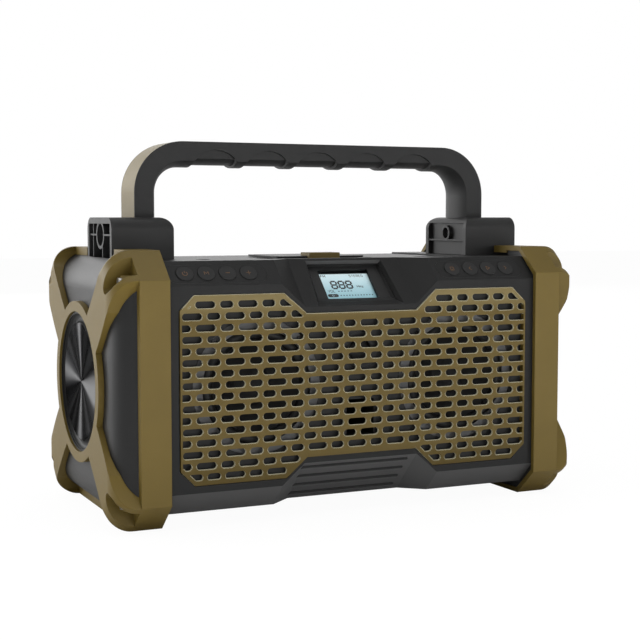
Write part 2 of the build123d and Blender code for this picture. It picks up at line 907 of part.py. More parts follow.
radiator_back_x = cap_outer_x - cap_wall
frame_lip_x = radiator_disc_x + radiator_lip
frame_outer_radius = ring_inner_radius - joint_gap * 2
left_radiator_frame = turned(
    [
        (-frame_lip_x, radiator_rim_inner),
        (-frame_lip_x, frame_outer_radius),
        (-radiator_back_x, frame_outer_radius),
        (-radiator_back_x, radiator_flange_radius),
        (-radiator_back_x + radiator_flange, radiator_flange_radius),
        (-radiator_back_x + radiator_flange, radiator_rim_inner),
    ]
)
save(left_radiator_frame, "left_radiator_frame")
save(other_side(left_radiator_frame), "right_radiator_frame")

left_radiator = turned(
    [
        (-radiator_disc_x + radiator_disc + radiator_weight, 0),
        (-radiator_disc_x + radiator_disc + radiator_weight, radiator_weight_radius),
        (-radiator_disc_x + radiator_disc, radiator_weight_radius),
        (-radiator_disc_x + radiator_disc, radiator_disc_radius),
        (-radiator_disc_x + radiator_edge, radiator_disc_radius),
        (-radiator_disc_x, radiator_disc_radius - radiator_edge),
        (-radiator_disc_x, radiator_disc_radius - radiator_rim),
        (-radiator_disc_x + radiator_dish, radiator_hub_radius),
        (-radiator_disc_x + radiator_dish, 0),
    ]
)
save(left_radiator, "left_radiator")
save(other_side(left_radiator), "right_radiator")

surround_middle = mid_z + (radiator_disc_radius + radiator_rim_inner) / 2
surround_edge_x = -radiator_disc_x + surround_sunk
surround_ends = (mid_z + radiator_disc_radius + soft_gap, mid_z + radiator_rim_inner - joint_gap)
with BuildPart() as surround_ring:
    with BuildSketch(Plane.XZ):
        with BuildLine():
            for shift in (0, surround_thickness):
                ThreePointArc(
                    (surround_edge_x + shift, surround_ends[0]),
                    (surround_edge_x + surround_sag + shift, surround_middle),
                    (surround_edge_x + shift, surround_ends[1]),
                )
            for end in surround_ends:
                Line((surround_edge_x, end), (surround_edge_x + surround_thickness, end))
        make_face()
    revolve(axis=radiator_axis)
save(surround_ring.part, "left_radiator_surround")
save(other_side(surround_ring.part), "right_radiator_surround")

# ---- housings -------------------------------------------------------------------------------
inner_drop = housing_wall * slope
body_outer = body_form(0, 0)
body_inner = body_form(housing_wall, inner_drop)
housing_spots = [
    (x, z)
    for x in (-housing_boss_x, housing_boss_x)
    for z in (
        body_low_z + housing_wall + housing_boss_radius - boss_root,
        body_top_z - housing_wall - housing_boss_radius + boss_root,
    )
]
screw_seat_y = body_back_y - screw_well_depth
facing_up = Plane.XY.offset(body_top_z)

with BuildPart() as bosses:
    with BuildSketch(facing_front(body_back_y)):
        with Locations(*housing_spots):
            Circle(housing_boss_radius)
    extrude(amount=body_back_y - housing_boss_front_y)
    for side in (left, right):
        with BuildSketch(across(side * cap_inner_x)):
            with Locations(*cap_screw_spots):
                Circle(cap_screw_boss)
        extrude(amount=-side * cap_screw_length)
    with BuildSketch(facing_up):
        with Locations(*top_well_spots):
            Circle(top_well_radius + top_well_wall)
    extrude(amount=-top_well_depth - top_well_floor)
    add(body_outer, mode=Mode.INTERSECT)

with BuildPart() as screw_paths:
    with BuildSketch(facing_front(body_back_y + 1)):
        with Locations(*housing_spots):
            Circle(housing_screw_head_radius + joint_gap)
    extrude(amount=screw_well_depth + 1)
    with BuildSketch(facing_front(screw_seat_y + 1)):
        with Locations(*housing_spots):
            Circle(housing_screw_radius + joint_gap / 2)
    extrude(amount=housing_screw_length + 3)
    for side in (left, right):
        with BuildSketch(across(side * (cap_inner_x + 1))):
            with Locations(*cap_screw_spots):
                Circle(cap_screw_radius + joint_gap / 2)
        extrude(amount=-side * (cap_screw_length - cap_flange + 2))

with BuildPart() as shell:
    add(body_outer)
    add(body_inner, mode=Mode.SUBTRACT)
    add(bosses.part)
    add(screw_paths.part, mode=Mode.SUBTRACT)


def key_plate_outline(row_x, depth_in, growth):
    """Rounded outline of a key plate on the upper band."""
    with BuildSketch(on_band(depth_in)) as outline:
        with Locations((row_x, key_up)):
            SlotOverall(key_plate_length + 2 * growth, key_plate_width + 2 * growth)
    return outline.sketch


def slope_outline(depth_in, growth, fraction):
    """Outline of the display recess between its mouth (fraction 0) and its floor (fraction 1)."""

    def between(mouth, floor):
        return mouth + (floor - mouth) * fraction

    low = between(display_low_up, recess_low_up) - growth
    high = between(display_top_up, recess_top_up) + growth
    low_half = between(display_low_half, recess_low_half) + growth
    top_half = between(display_top_half, recess_top_half) + growth
    with BuildSketch(on_pod(depth_in)) as outline:
        with Locations((display_x, 0)):
            with BuildLine():
                Polyline(
                    (-low_half, low), (low_half, low), (top_half, high), (-top_half, high), close=True
                )
            make_face()
    return outline.sketch


def display_recess(growth):
    """Recess in front of the display, from before the slope down to its floor."""
    with BuildPart() as recess:
        add(slope_outline(-1.0, growth, -1.0 / recess_depth))
        add(slope_outline(recess_depth, growth, 1.0))
        loft()
    return recess.part


with BuildPart() as ribs:
    for row in range(rib_rows):
        rib_y = body_front_y + rib_setback + row * rib_pitch / slope
        rib_z = body_low_z + band + low_pod_rise - rib_setback - row * rib_pitch / slope
        with BuildSketch(Plane(origin=(rib_x - rib_half_length, rib_y, rib_z), z_dir=(1, 0, 0))):
            Circle(rib_radius)
        extrude(amount=2 * rib_half_length)
        with Locations((rib_x - rib_half_length, rib_y, rib_z), (rib_x + rib_half_length, rib_y, rib_z)):
            Sphere(rib_radius)

knuckle_spans = [(-lid_knuckle_out, -lid_knuckle_in), (lid_knuckle_in, lid_knuckle_out)]
with BuildPart() as keeper:
    add(
        block(
            (-keeper_half, keeper_back_y - keeper_post, recess_z - keeper_lip),
            (keeper_half, keeper_back_y, keeper_lip_z + keeper_lip_height),
        )
    )
    add(
        block(
            (-keeper_half, keeper_back_y - keeper_post - keeper_lip, keeper_lip_z),
            (keeper_half, keeper_back_y, keeper_lip_z + keeper_lip_height),
        )
    )

top_recess_space = block(
    (-top_recess_half, top_recess_front_y, recess_z), (top_recess_half, body_back_y + 1, body_top_z + 1)
)
front_zone = block((-cap_inner_x - 5, body_front_y - 5, 0), (cap_inner_x + 5, split_y, guard_height + 5))
front_wall_opening = grille_outline(body_front_y + housing_wall + 1, soft_gap)
with BuildPart() as front_housing:
    add(shell.part)
    add(front_zone, mode=Mode.INTERSECT)
    add(ribs.part)
    extrude(front_wall_opening, amount=housing_wall + 2, mode=Mode.SUBTRACT)
    for row_x in (key_row_left_x, key_row_right_x):
        plate_cut = key_plate_outline(row_x, housing_wall + 1, joint_gap)
        extrude(plate_cut, amount=housing_wall + 2, mode=Mode.SUBTRACT)
    add(display_recess(joint_gap), mode=Mode.SUBTRACT)
    add(top_recess_space, mode=Mode.SUBTRACT)
    add(
        block(
            (-tray_half - soft_gap, tray_front_y - soft_gap, body_top_z - housing_wall - 1),
            (tray_half + soft_gap, tray_back_y + soft_gap, body_top_z),
        ),
        mode=Mode.SUBTRACT,
    )
    add(
        block(
            (-lid_knuckle_out - soft_gap, tray_back_y, body_top_z - housing_wall - 1),
            (lid_knuckle_out + soft_gap, lid_axis_y + lid_knuckle_radius + soft_gap, body_top_z),
        ),
        mode=Mode.SUBTRACT,
    )
    with BuildSketch(facing_up):
        with Locations(*top_well_spots):
            Circle(top_well_radius)
    extrude(amount=-top_well_depth, mode=Mode.SUBTRACT)
    with BuildSketch(facing_up):
        with Locations(*top_well_spots):
            Circle(foot_screw_radius + joint_gap / 2)
    extrude(amount=-top_well_depth - top_well_floor - 1, mode=Mode.SUBTRACT)
    with BuildSketch(facing_up):
        with Locations(*foot_screw_spots):
            Circle(foot_screw_radius + joint_gap)
    extrude(amount=-housing_wall - 1, mode=Mode.SUBTRACT)
    add(keeper.part)
save(front_housing.part, "front_housing")

rear_zone = block((-cap_inner_x - 5, split_y, 0), (cap_inner_x + 5, body_back_y + 5, guard_height + 5))
board_spots = [
    (x, z)
    for x in (-board_half + board_hole_inset, board_half - board_hole_inset)
    for z in (board_low_z + board_hole_inset, board_high_z - board_hole_inset)
]
board_face_y = board_y + board_thickness
with BuildPart() as rear_housing:
    add(shell.part)
    add(rear_zone, mode=Mode.INTERSECT)
    add(top_recess_space, mode=Mode.SUBTRACT)
    with BuildSketch(facing_front(board_face_y)):
        with Locations(*board_spots):
            Circle(board_post_radius)
    extrude(amount=board_face_y - body_back_y + housing_wall - board_post_root)
    with BuildSketch(facing_front(board_face_y)):
        with Locations(*board_spots):
            Circle(board_pin_radius)
    extrude(amount=board_thickness)
    with BuildSketch(facing_front(body_back_y + 1)):
        with Locations((0, body_low_z + label_rise)):
            Rectangle(label_width, label_height)
    extrude(amount=label_sunk + 1, mode=Mode.SUBTRACT)
save(rear_housing.part, "rear_housing")

housing_screws = screws(
    Plane(origin=(0, screw_seat_y, 0), x_dir=(-1, 0, 0), z_dir=(0, 1, 0)),
    [(-x, z) for x, z in housing_spots],
    (housing_screw_head_radius, housing_screw_head, housing_screw_radius),
    housing_screw_length,
)
save(housing_screws, "housing_screws")

top_screws = screws(
    Plane.XY.offset(body_top_z - top_well_depth),
    top_well_spots,
    (foot_screw_head_radius, foot_screw_head, foot_screw_radius),
    top_screw_length,
)
save(top_screws, "top_screws")

# ---- grille ---------------------------------------------------------------------------------
baffle_front_y = body_front_y + housing_wall
grille_face_y = body_front_y - grille_proud
grille_edge_y = body_front_y + grille_edge_sunk
slot_columns = math.ceil(grille_half / slot_period) + 1
row_centres = [grille_top_z - slot_first_down - row * slot_row_pitch for row in range(slot_rows)]


def row_spots(row, phase):
    """Slot centres of one row across the grille."""
    start = slot_phase + phase + (slot_shift if row % 2 else 0.0)
    return [
        (start + column * slot_period, row_centres[row])
        for column in range(-slot_columns, slot_columns + 1)
        if abs(start + column * slot_period) < grille_half + slot_long / 2
    ]


grille_plane_y = baffle_front_y + 1
with BuildPart() as grille_sheet_form:
    with BuildSketch(across(-grille_half)):
        with BuildLine():
            Polyline(
                (grille_edge_y, grille_low_z),
                (grille_face_y, grille_low_z + grille_bend_low),
                (grille_face_y, grille_top_z - grille_bend_top),
                (grille_edge_y, grille_top_z),
                (grille_edge_y + grille_sheet, grille_top_z),
                (grille_face_y + grille_sheet, grille_top_z - grille_bend_top),
                (grille_face_y + grille_sheet, grille_low_z + grille_bend_low),
                (grille_edge_y + grille_sheet, grille_low_z),
                close=True,
            )
        make_face()
    extrude(amount=2 * grille_half)
with BuildPart() as grille_solid:
    with BuildSketch(across(-grille_half)):
        with BuildLine():
            Polyline(
                (grille_edge_y, grille_low_z),
                (grille_face_y, grille_low_z + grille_bend_low),
                (grille_face_y, grille_top_z - grille_bend_top),
                (grille_edge_y, grille_top_z),
                (baffle_front_y, grille_top_z),
                (baffle_front_y, grille_low_z),
                close=True,
            )
        make_face()
    extrude(amount=2 * grille_half)
rim_outer = grille_outline(grille_plane_y, 0)
rim_inner = grille_outline(grille_plane_y, -grille_rim)
slot_side_clip = grille_outline(grille_plane_y, -slot_margin_side)
slot_lift = slot_margin_end - slot_margin_side
with BuildPart() as slot_clip:
    extrude(slot_side_clip, amount=grille_reach)
    extrude(Location((0, 0, slot_lift)) * slot_side_clip, amount=grille_reach, mode=Mode.INTERSECT)
    extrude(Location((0, 0, -slot_lift)) * slot_side_clip, amount=grille_reach, mode=Mode.INTERSECT)
with BuildPart() as grille_slots:
    with BuildSketch(facing_front(grille_plane_y)):
        for row in range(slot_rows):
            with Locations(*row_spots(row, 0)):
                SlotOverall(slot_long, slot_height)
            with Locations(*row_spots(row, slot_period / 2)):
                SlotOverall(slot_short, slot_height)
    extrude(amount=grille_reach)
    add(slot_clip.part, mode=Mode.INTERSECT)
with BuildPart() as grille_rim_ring:
    extrude(rim_outer, amount=grille_reach)
    extrude(rim_inner, amount=grille_reach, mode=Mode.SUBTRACT)
    add(grille_solid.part, mode=Mode.INTERSECT)
with BuildPart() as front_grille:
    extrude(rim_outer, amount=grille_reach)
    add(grille_sheet_form.part, mode=Mode.INTERSECT)
    add(grille_rim_ring.part)
    add(grille_slots.part, mode=Mode.SUBTRACT)
save(front_grille.part, "front_grille")

# ---- speaker baffle -------------------------------------------------------------------------
baffle_back_y = baffle_front_y + baffle_thickness
woofer_spots = [(side * woofer_x, woofer_z) for side in (left, right)]
woofer_seat_y = baffle_front_y + woofer_seat_depth
speaker_screw_spots = [
    (x + speaker_screw_circle * math.cos(angle), z + speaker_screw_circle * math.sin(angle))
    for x, z in woofer_spots
    for angle in (math.pi / 4 + math.pi / 2 * i for i in range(4))
]

baffle_room = body_form(housing_wall, inner_drop + joint_gap * 2)

with BuildPart() as speaker_baffle:
    extrude(grille_outline(baffle_back_y, baffle_margin), amount=baffle_thickness)
    add(baffle_room, mode=Mode.INTERSECT)
    with BuildSketch(facing_front(woofer_seat_y)):
        with Locations(*woofer_spots):
            Circle(woofer_flange_radius + joint_gap)
    extrude(amount=woofer_seat_depth + 1, mode=Mode.SUBTRACT)
    with BuildSketch(facing_front(baffle_back_y + 1)):
        with Locations(*woofer_spots):
            Circle(woofer_hole_radius)
        with Locations((0, tweeter_z)):
            Circle(tweeter_body_radius + joint_gap)
        with Locations((0, port_mid_z)):
            RectangleRounded(2 * port_half_width + 2 * joint_gap, port_height + 2 * joint_gap, port_corner)
    extrude(amount=baffle_thickness + 2, mode=Mode.SUBTRACT)
    with BuildSketch(facing_front(baffle_front_y + tweeter_ring)):
        with Locations((0, tweeter_z)):
            Circle(tweeter_radius + joint_gap)
    extrude(amount=tweeter_ring + 1, mode=Mode.SUBTRACT)
    with BuildSketch(facing_front(baffle_back_y + 1)):
        with Locations(*speaker_screw_spots):
            Circle(speaker_screw_radius + joint_gap / 2)
    extrude(amount=baffle_thickness, mode=Mode.SUBTRACT)
save(speaker_baffle.part, "speaker_baffle")

speaker_screws = screws(
    facing_front(woofer_seat_y - woofer_flange),
    speaker_screw_spots,
    (speaker_screw_head_radius, speaker_screw_head, speaker_screw_radius),
    speaker_screw_length,
)
save(speaker_screws, "speaker_screws")


# ---- woofers, turned about an axis along Y ---------------------------------------------------
def turned_front(profile_points):
    """Solid turned about the Y axis: points are (radius, y)."""
    with BuildPart() as solid:
        with BuildSketch(Plane.XY):
            with BuildLine():
                Polyline(*profile_points, close=True)
            make_face()
        revolve(axis=Axis.Y)
    return solid.part


basket_back_y = woofer_seat_y + basket_depth
basket_form = turned_front(
    [
        (woofer_ring_inner, woofer_seat_y - woofer_flange),
        (woofer_flange_radius, woofer_seat_y - woofer_flange),
        (woofer_flange_radius, woofer_seat_y),
        (woofer_hole_radius - joint_gap, woofer_seat_y),
        (woofer_hole_radius - joint_gap, woofer_seat_y + basket_collar),
        (magnet_radius, basket_back_y),
        (coil_gap_radius + 1, basket_back_y),
        (coil_gap_radius + 1, basket_back_y - basket_wall),
        (magnet_radius - basket_wall, basket_back_y - basket_wall),
        (woofer_ring_inner, woofer_seat_y + basket_collar - basket_wall),
    ]
)
with BuildPart() as basket:
    add(basket_form)
    with BuildSketch(Plane.XZ.offset(-basket_back_y + basket_wall + 1)):
        with PolarLocations((magnet_radius + woofer_hole_radius) / 2, basket_windows):
            RectangleRounded(basket_window_length, basket_window_width, basket_window_corner)
    extrude(amount=basket_depth - basket_collar - 2 * basket_wall, mode=Mode.SUBTRACT)
    with BuildSketch(facing_front(woofer_seat_y + 1)):
        with PolarLocations(speaker_screw_circle, 4, start_angle=45):
            Circle(speaker_screw_radius + joint_gap)
    extrude(amount=woofer_flange + 2, mode=Mode.SUBTRACT)
magnet_back_y = basket_back_y + magnet_depth
woofer_magnet = turned_front(
    [
        (0, basket_back_y - pole_lead),
        (pole_radius, basket_back_y - pole_lead),
        (pole_radius, magnet_back_y - magnet_plate),
        (coil_gap_radius, magnet_back_y - magnet_plate),
        (coil_gap_radius, basket_back_y),
        (magnet_radius - magnet_step, basket_back_y),
        (magnet_radius - magnet_step, basket_back_y + magnet_face),
        (magnet_radius, basket_back_y + magnet_face),
        (magnet_radius, magnet_back_y - magnet_face),
        (magnet_radius - magnet_step, magnet_back_y - magnet_face),
        (magnet_radius - magnet_step, magnet_back_y),
        (0, magnet_back_y),
    ]
)
cone_front_y = woofer_seat_y + cone_setback
cone_back_y = cone_front_y + cone_depth
former_end_y = magnet_back_y - magnet_plate - coil_clearance
cone_shell = turned_front(
    [
        (cone_radius, cone_front_y),
        (coil_radius, cone_back_y),
        (coil_radius, former_end_y),
        (coil_radius - coil_former_wall, former_end_y),
        (coil_radius - coil_former_wall, cone_back_y - cone_thickness),
        (cone_radius - cone_thickness, cone_front_y - cone_thickness / 2),
    ]
)
dome_seat_y = cone_back_y - (dust_cap_radius - coil_radius) * cone_depth / (cone_radius - coil_radius)
dust_cap = turned_front(
    [
        (dust_cap_radius, dome_seat_y),
        (dust_cap_radius, dome_seat_y - cone_thickness),
        (dust_cap_radius * 0.85, dome_seat_y - dust_cap_rise * 0.5),
        (dust_cap_radius * 0.5, dome_seat_y - dust_cap_rise * 0.87),
        (0, dome_seat_y - dust_cap_rise),
        (0, dome_seat_y - dust_cap_rise + cone_thickness),
        (dust_cap_radius * 0.45, dome_seat_y - dust_cap_rise * 0.87 + cone_thickness),
        (dust_cap_radius * 0.8, dome_seat_y - dust_cap_rise * 0.5 + cone_thickness),
    ]
)
with BuildPart() as cone:
    add(cone_shell)
    add(dust_cap)
surround_inner_radius = cone_radius + soft_gap
surround_outer_radius = woofer_ring_inner - joint_gap
surround_seat_y = cone_front_y
with BuildPart() as woofer_surround:
    with BuildSketch(Plane.XY):
        with BuildLine():
            for shift in (0, surround_thickness):
                ThreePointArc(
                    (surround_inner_radius, surround_seat_y + shift),
                    (
                        (surround_inner_radius + surround_outer_radius) / 2,
                        surround_seat_y - surround_roll + shift,
                    ),
                    (surround_outer_radius, surround_seat_y + shift),
                )
            for end in (surround_inner_radius, surround_outer_radius):
                Line((end, surround_seat_y), (end, surround_seat_y + surround_thickness))
        make_face()
    revolve(axis=Axis.Y)
for side, name in ((left, "left"), (right, "right")):
    spot = Location((side * woofer_x, 0, woofer_z))
    save(spot * basket.part, f"{name}_woofer_basket")
    save(spot * woofer_magnet, f"{name}_woofer_magnet")
    save(spot * cone.part, f"{name}_woofer_cone")
    save(spot * woofer_surround.part, f"{name}_woofer_surround")

# ---- tweeter and bass port ------------------------------------------------------------------
tweeter_seat_y = baffle_front_y + tweeter_ring
tweeter_frame = turned_front(
    [
        (tweeter_dome_radius + soft_gap, baffle_front_y + tweeter_ring_dip),
        (tweeter_radius - tweeter_ring_flat, baffle_front_y),
        (tweeter_radius, baffle_front_y),
        (tweeter_radius, tweeter_seat_y),
        (tweeter_body_radius, tweeter_seat_y),
        (tweeter_body_radius, baffle_front_y + tweeter_depth),
        (0, baffle_front_y + tweeter_depth),
        (0, baffle_front_y + tweeter_cup),
        (tweeter_dome_radius + soft_gap, baffle_front_y + tweeter_cup),
    ]
)
save(Location((0, 0, tweeter_z)) * tweeter_frame, "tweeter_frame")
tweeter_low_y = baffle_front_y + tweeter_cup
tweeter_dome = turned_front(
    [
        (0, tweeter_low_y),
        (tweeter_dome_radius, tweeter_low_y),
        (tweeter_dome_radius, tweeter_low_y - tweeter_dome_rise * 0.26),
        (tweeter_dome_radius * 0.8, tweeter_low_y - tweeter_dome_rise * 0.6),
        (tweeter_dome_radius * 0.45, tweeter_low_y - tweeter_dome_rise * 0.9),
        (0, tweeter_low_y - tweeter_dome_rise),
    ]
)
save(Location((0, 0, tweeter_z)) * tweeter_dome, "tweeter_dome")
with BuildPart() as bass_port:
    with BuildSketch(facing_front(baffle_front_y + port_length)):
        with Locations((0, port_mid_z)):
            RectangleRounded(2 * port_half_width, port_height, port_corner)
            RectangleRounded(
                2 * (port_half_width - port_wall),
                port_height - 2 * port_wall,
                port_corner - port_wall,
                mode=Mode.SUBTRACT,
            )
    extrude(amount=port_length)
save(bass_port.part, "bass_port")

# ---- display --------------------------------------------------------------------------------
bezel_top_depth = housing_wall + soft_gap
bezel_low_depth = recess_depth + display_bezel


def display_plate(depth_in, half_width, height, centre_up, thickness):
    """Flat plate behind the display slope, with its back face at the given depth."""
    with BuildPart() as plate:
        with BuildSketch(on_pod(depth_in)):
            with Locations((display_x, centre_up)):
                Rectangle(2 * half_width, height)
        extrude(amount=thickness)
    return plate.part


with BuildPart() as display_bezel_frame:
    add(
        display_plate(
            bezel_low_depth, bezel_half, bezel_height, bezel_mid_up, bezel_low_depth - bezel_top_depth
        )
    )
    add(display_recess(0), mode=Mode.SUBTRACT)
    add(
        display_plate(bezel_low_depth + 1, lcd_half_width, lcd_height, lcd_centre_up, display_bezel + 2),
        mode=Mode.SUBTRACT,
    )
save(display_bezel_frame.part, "display_bezel")
pane_half = lcd_half_width + lcd_margin
pane_height = lcd_height + 2 * lcd_margin
glass_depth = bezel_low_depth + joint_gap + lcd_glass
panel_depth = glass_depth + joint_gap + lcd_panel
save(display_plate(glass_depth, pane_half, pane_height, lcd_centre_up, lcd_glass), "display_window")
save(display_plate(panel_depth, pane_half, pane_height, lcd_centre_up, lcd_panel), "display_panel")

# ---- keys -----------------------------------------------------------------------------------
key_sets = (
    ("left", key_row_left_x, ("key_power", "key_mode", "key_minus", "key_plus")),
    ("right", key_row_right_x, ("key_source", "key_previous", "key_play", "key_next")),
)
flange_top = key_web + joint_gap
flange_low = flange_top + key_flange
plate_low = housing_wall + joint_gap + key_plate_back
board_top = key_board_depth - key_board
for name, row_x, key_names in key_sets:
    centres = key_centres(row_x)
    post_spots = [(row_x + i * key_pitch, key_up) for i in (-1, 0, 1)]
    with BuildPart() as key_plate:
        extrude(key_plate_outline(row_x, housing_wall + joint_gap, 0), amount=housing_wall + joint_gap)
        extrude(key_plate_outline(row_x, plate_low, key_plate_overhang), amount=key_plate_back)
        with BuildSketch(on_band(plate_low + 1)):
            with Locations(*centres):
                Circle(key_flange_radius + soft_gap)
        extrude(amount=plate_low + 1 - key_web, mode=Mode.SUBTRACT)
        with BuildSketch(on_band(key_web + 1)):
            with Locations(*centres):
                Circle(key_radius + key_play)
        extrude(amount=key_web + 2, mode=Mode.SUBTRACT)
        with BuildSketch(on_band(board_top)):
            with Locations(*post_spots):
                Circle(key_post_radius)
        extrude(amount=board_top - plate_low + key_post_root)
    save(key_plate.part, f"{name}_key_plate")
    with BuildPart() as key_circuit:
        with BuildSketch(on_band(key_board_depth)):
            with Locations((row_x, key_up)):
                Rectangle(key_plate_length - key_board_short, key_plate_width - key_board_narrow)
        extrude(amount=key_board)
        with BuildSketch(on_band(board_top)):
            with Locations(*centres):
                Rectangle(key_switch_side, key_switch_side)
        extrude(amount=key_switch_height)
        with BuildSketch(on_band(board_top - key_switch_height)):
            with Locations(*centres):
                Circle(key_switch_side * 0.3)
        extrude(amount=key_switch_nub)
    save(key_circuit.part, f"{name}_key_board")
    for centre, key_name in zip(centres, key_names):
        with BuildPart() as key:
            with BuildSketch(on_band(flange_low)):
                with Locations(centre):
                    Circle(key_flange_radius)
            extrude(amount=key_flange)
            with BuildSketch(on_band(flange_top)):
                with Locations(centre):
                    Circle(key_radius)
            extrude(amount=flange_top + key_proud)
            fillet(key.edges().group_by(Axis((0, 0, 0), (0, -1, 1)))[-1], radius=key_edge)
            with BuildSketch(on_band(key_stem_end)):
                with Locations(centre):
                    Circle(key_stem_radius)
            extrude(amount=key_stem_end - flange_low)
        save(key.part, key_name)

# ---- handle ---------------------------------------------------------------------------------
handle_half_depth = handle_depth / 2
leg_plane = Plane(origin=(-handle_outer_x, handle_y, leg_low_z), x_dir=(1, 0, 0), z_dir=(0, 0, 1))


def grip_section(plane, inset):
    """D-shaped section of the handle: flat outside, arched inside."""
    with BuildSketch(plane) as section:
        with BuildLine():
            Polyline(
                (handle_edge_thick - inset, -handle_half_depth + inset),
                (inset, -handle_half_depth + inset),
                (inset, handle_half_depth - inset),
                (handle_edge_thick - inset, handle_half_depth - inset),
            )
            ThreePointArc(
                (handle_edge_thick - inset, -handle_half_depth + inset),
                (handle_thick - inset, 0),
                (handle_edge_thick - inset, handle_half_depth - inset),
            )
        make_face()
    return section.sketch


with BuildSketch(leg_plane) as strip_section:
    with Locations((strip_thickness / 2, 0)):
        Rectangle(strip_thickness, handle_depth - 2 * strip_lip)
with BuildLine(Plane.XZ) as handle_path:
    Line((-handle_outer_x, leg_low_z), (-handle_outer_x, handle_top_z - handle_bend))
    RadiusArc(
        (-handle_outer_x, handle_top_z - handle_bend),
        (-handle_outer_x + handle_bend, handle_top_z),
        handle_bend,
    )
    Line((-handle_outer_x + handle_bend, handle_top_z), (handle_outer_x - handle_bend, handle_top_z))
    RadiusArc(
        (handle_outer_x - handle_bend, handle_top_z),
        (handle_outer_x, handle_top_z - handle_bend),
        handle_bend,
    )
    Line((handle_outer_x, handle_top_z - handle_bend), (handle_outer_x, leg_low_z))
handle_wire = Location((0, handle_y, 0)) * handle_path.wire()
bar_plane = Plane(origin=(-handle_outer_x, handle_y, handle_top_z), x_dir=(0, 0, -1), z_dir=(1, 0, 0))
under_z = handle_top_z - handle_thick
groove_xs = [(i - (groove_count - 1) / 2) * groove_pitch for i in range(groove_count)]
with BuildPart() as grooves:
    with BuildSketch(facing_front(handle_y + handle_half_depth + 1)):
        with Locations(*[(x, under_z) for x in groove_xs]):
            Ellipse(groove_half_length, groove_rise)
    extrude(amount=handle_depth + 2)
    extrude(grip_section(bar_plane, groove_depth), amount=2 * handle_outer_x, mode=Mode.SUBTRACT)
bolt_plane_x = foot_outer_x - foot_pocket
with BuildPart() as handle_grip:
    sweep(sections=grip_section(leg_plane, 0), path=handle_wire)
    sweep(sections=strip_section.sketch, path=handle_wire, mode=Mode.SUBTRACT)
    add(grooves.part, mode=Mode.SUBTRACT)
    with BuildSketch(across(-bolt_plane_x)):
        with Locations((handle_y, foot_boss_z)):
            Circle(handle_bolt_radius + joint_gap)
    extrude(amount=2 * bolt_plane_x, mode=Mode.SUBTRACT)
save(handle_grip.part, "handle_grip")
with BuildPart() as handle_strip:
    sweep(sections=strip_section.sketch, path=handle_wire)
    with BuildSketch(across(-bolt_plane_x)):
        with Locations((handle_y, foot_boss_z)):
            Circle(handle_bolt_radius + joint_gap)
    extrude(amount=2 * bolt_plane_x, mode=Mode.SUBTRACT)
save(handle_strip.part, "handle_strip")

foot_mid_y = (foot_front_y + foot_back_y) / 2
foot_body = block((-foot_outer_x, foot_front_y, body_top_z), (-foot_inner_x, foot_back_y, foot_top_z))
pocket_room = block(
    (-foot_outer_x - 1, foot_front_y + foot_wall, body_top_z - 1),
    (-bolt_plane_x, foot_back_y - foot_wall, foot_top_z - foot_wall),
)
inner_room = block(
    (-foot_inner_x - foot_inner_pocket, foot_front_y + foot_wall, body_top_z - 1),
    (-foot_inner_x + 1, foot_back_y - foot_wall, foot_top_z - foot_wall),
)
with BuildPart() as pocket_ribs:
    with BuildSketch(across(-foot_outer_x + foot_rib_sunk)):
        with Locations((handle_y, foot_boss_z)):
            Circle(foot_boss_radius)
        with Locations((foot_rib_y, (body_top_z + foot_top_z) / 2)):
            Rectangle(foot_rib, foot_top_z - body_top_z)
        with Locations((foot_low_rib_y, body_top_z + foot_low_rib / 2)):
            Rectangle(foot_rib, foot_low_rib)
        with Locations((foot_mid_y, foot_boss_z)):
            Rectangle(foot_back_y - foot_front_y - foot_wall, foot_rib)
    extrude(amount=foot_pocket - foot_rib_sunk)
    with BuildSketch(across(-foot_inner_x - foot_inner_pocket)):
        with Locations((handle_y, foot_boss_z)):
            Circle(foot_inner_boss_radius)
        with Locations((foot_mid_y, foot_inner_rib_z)):
            Rectangle(foot_back_y - foot_front_y - foot_wall, foot_rib)
    extrude(amount=foot_inner_pocket - foot_inner_rib_sunk)
with BuildPart() as foot_shape:
    add(foot_body)
    fillet(
        foot_shape.edges().filter_by(Axis.X).group_by(Axis.Z)[-1]
        + foot_shape.edges().filter_by(Axis.Y).filter_by_position(Axis.X, -foot_inner_x, -foot_inner_x)
        .group_by(Axis.Z)[-1],
        radius=foot_round,
    )
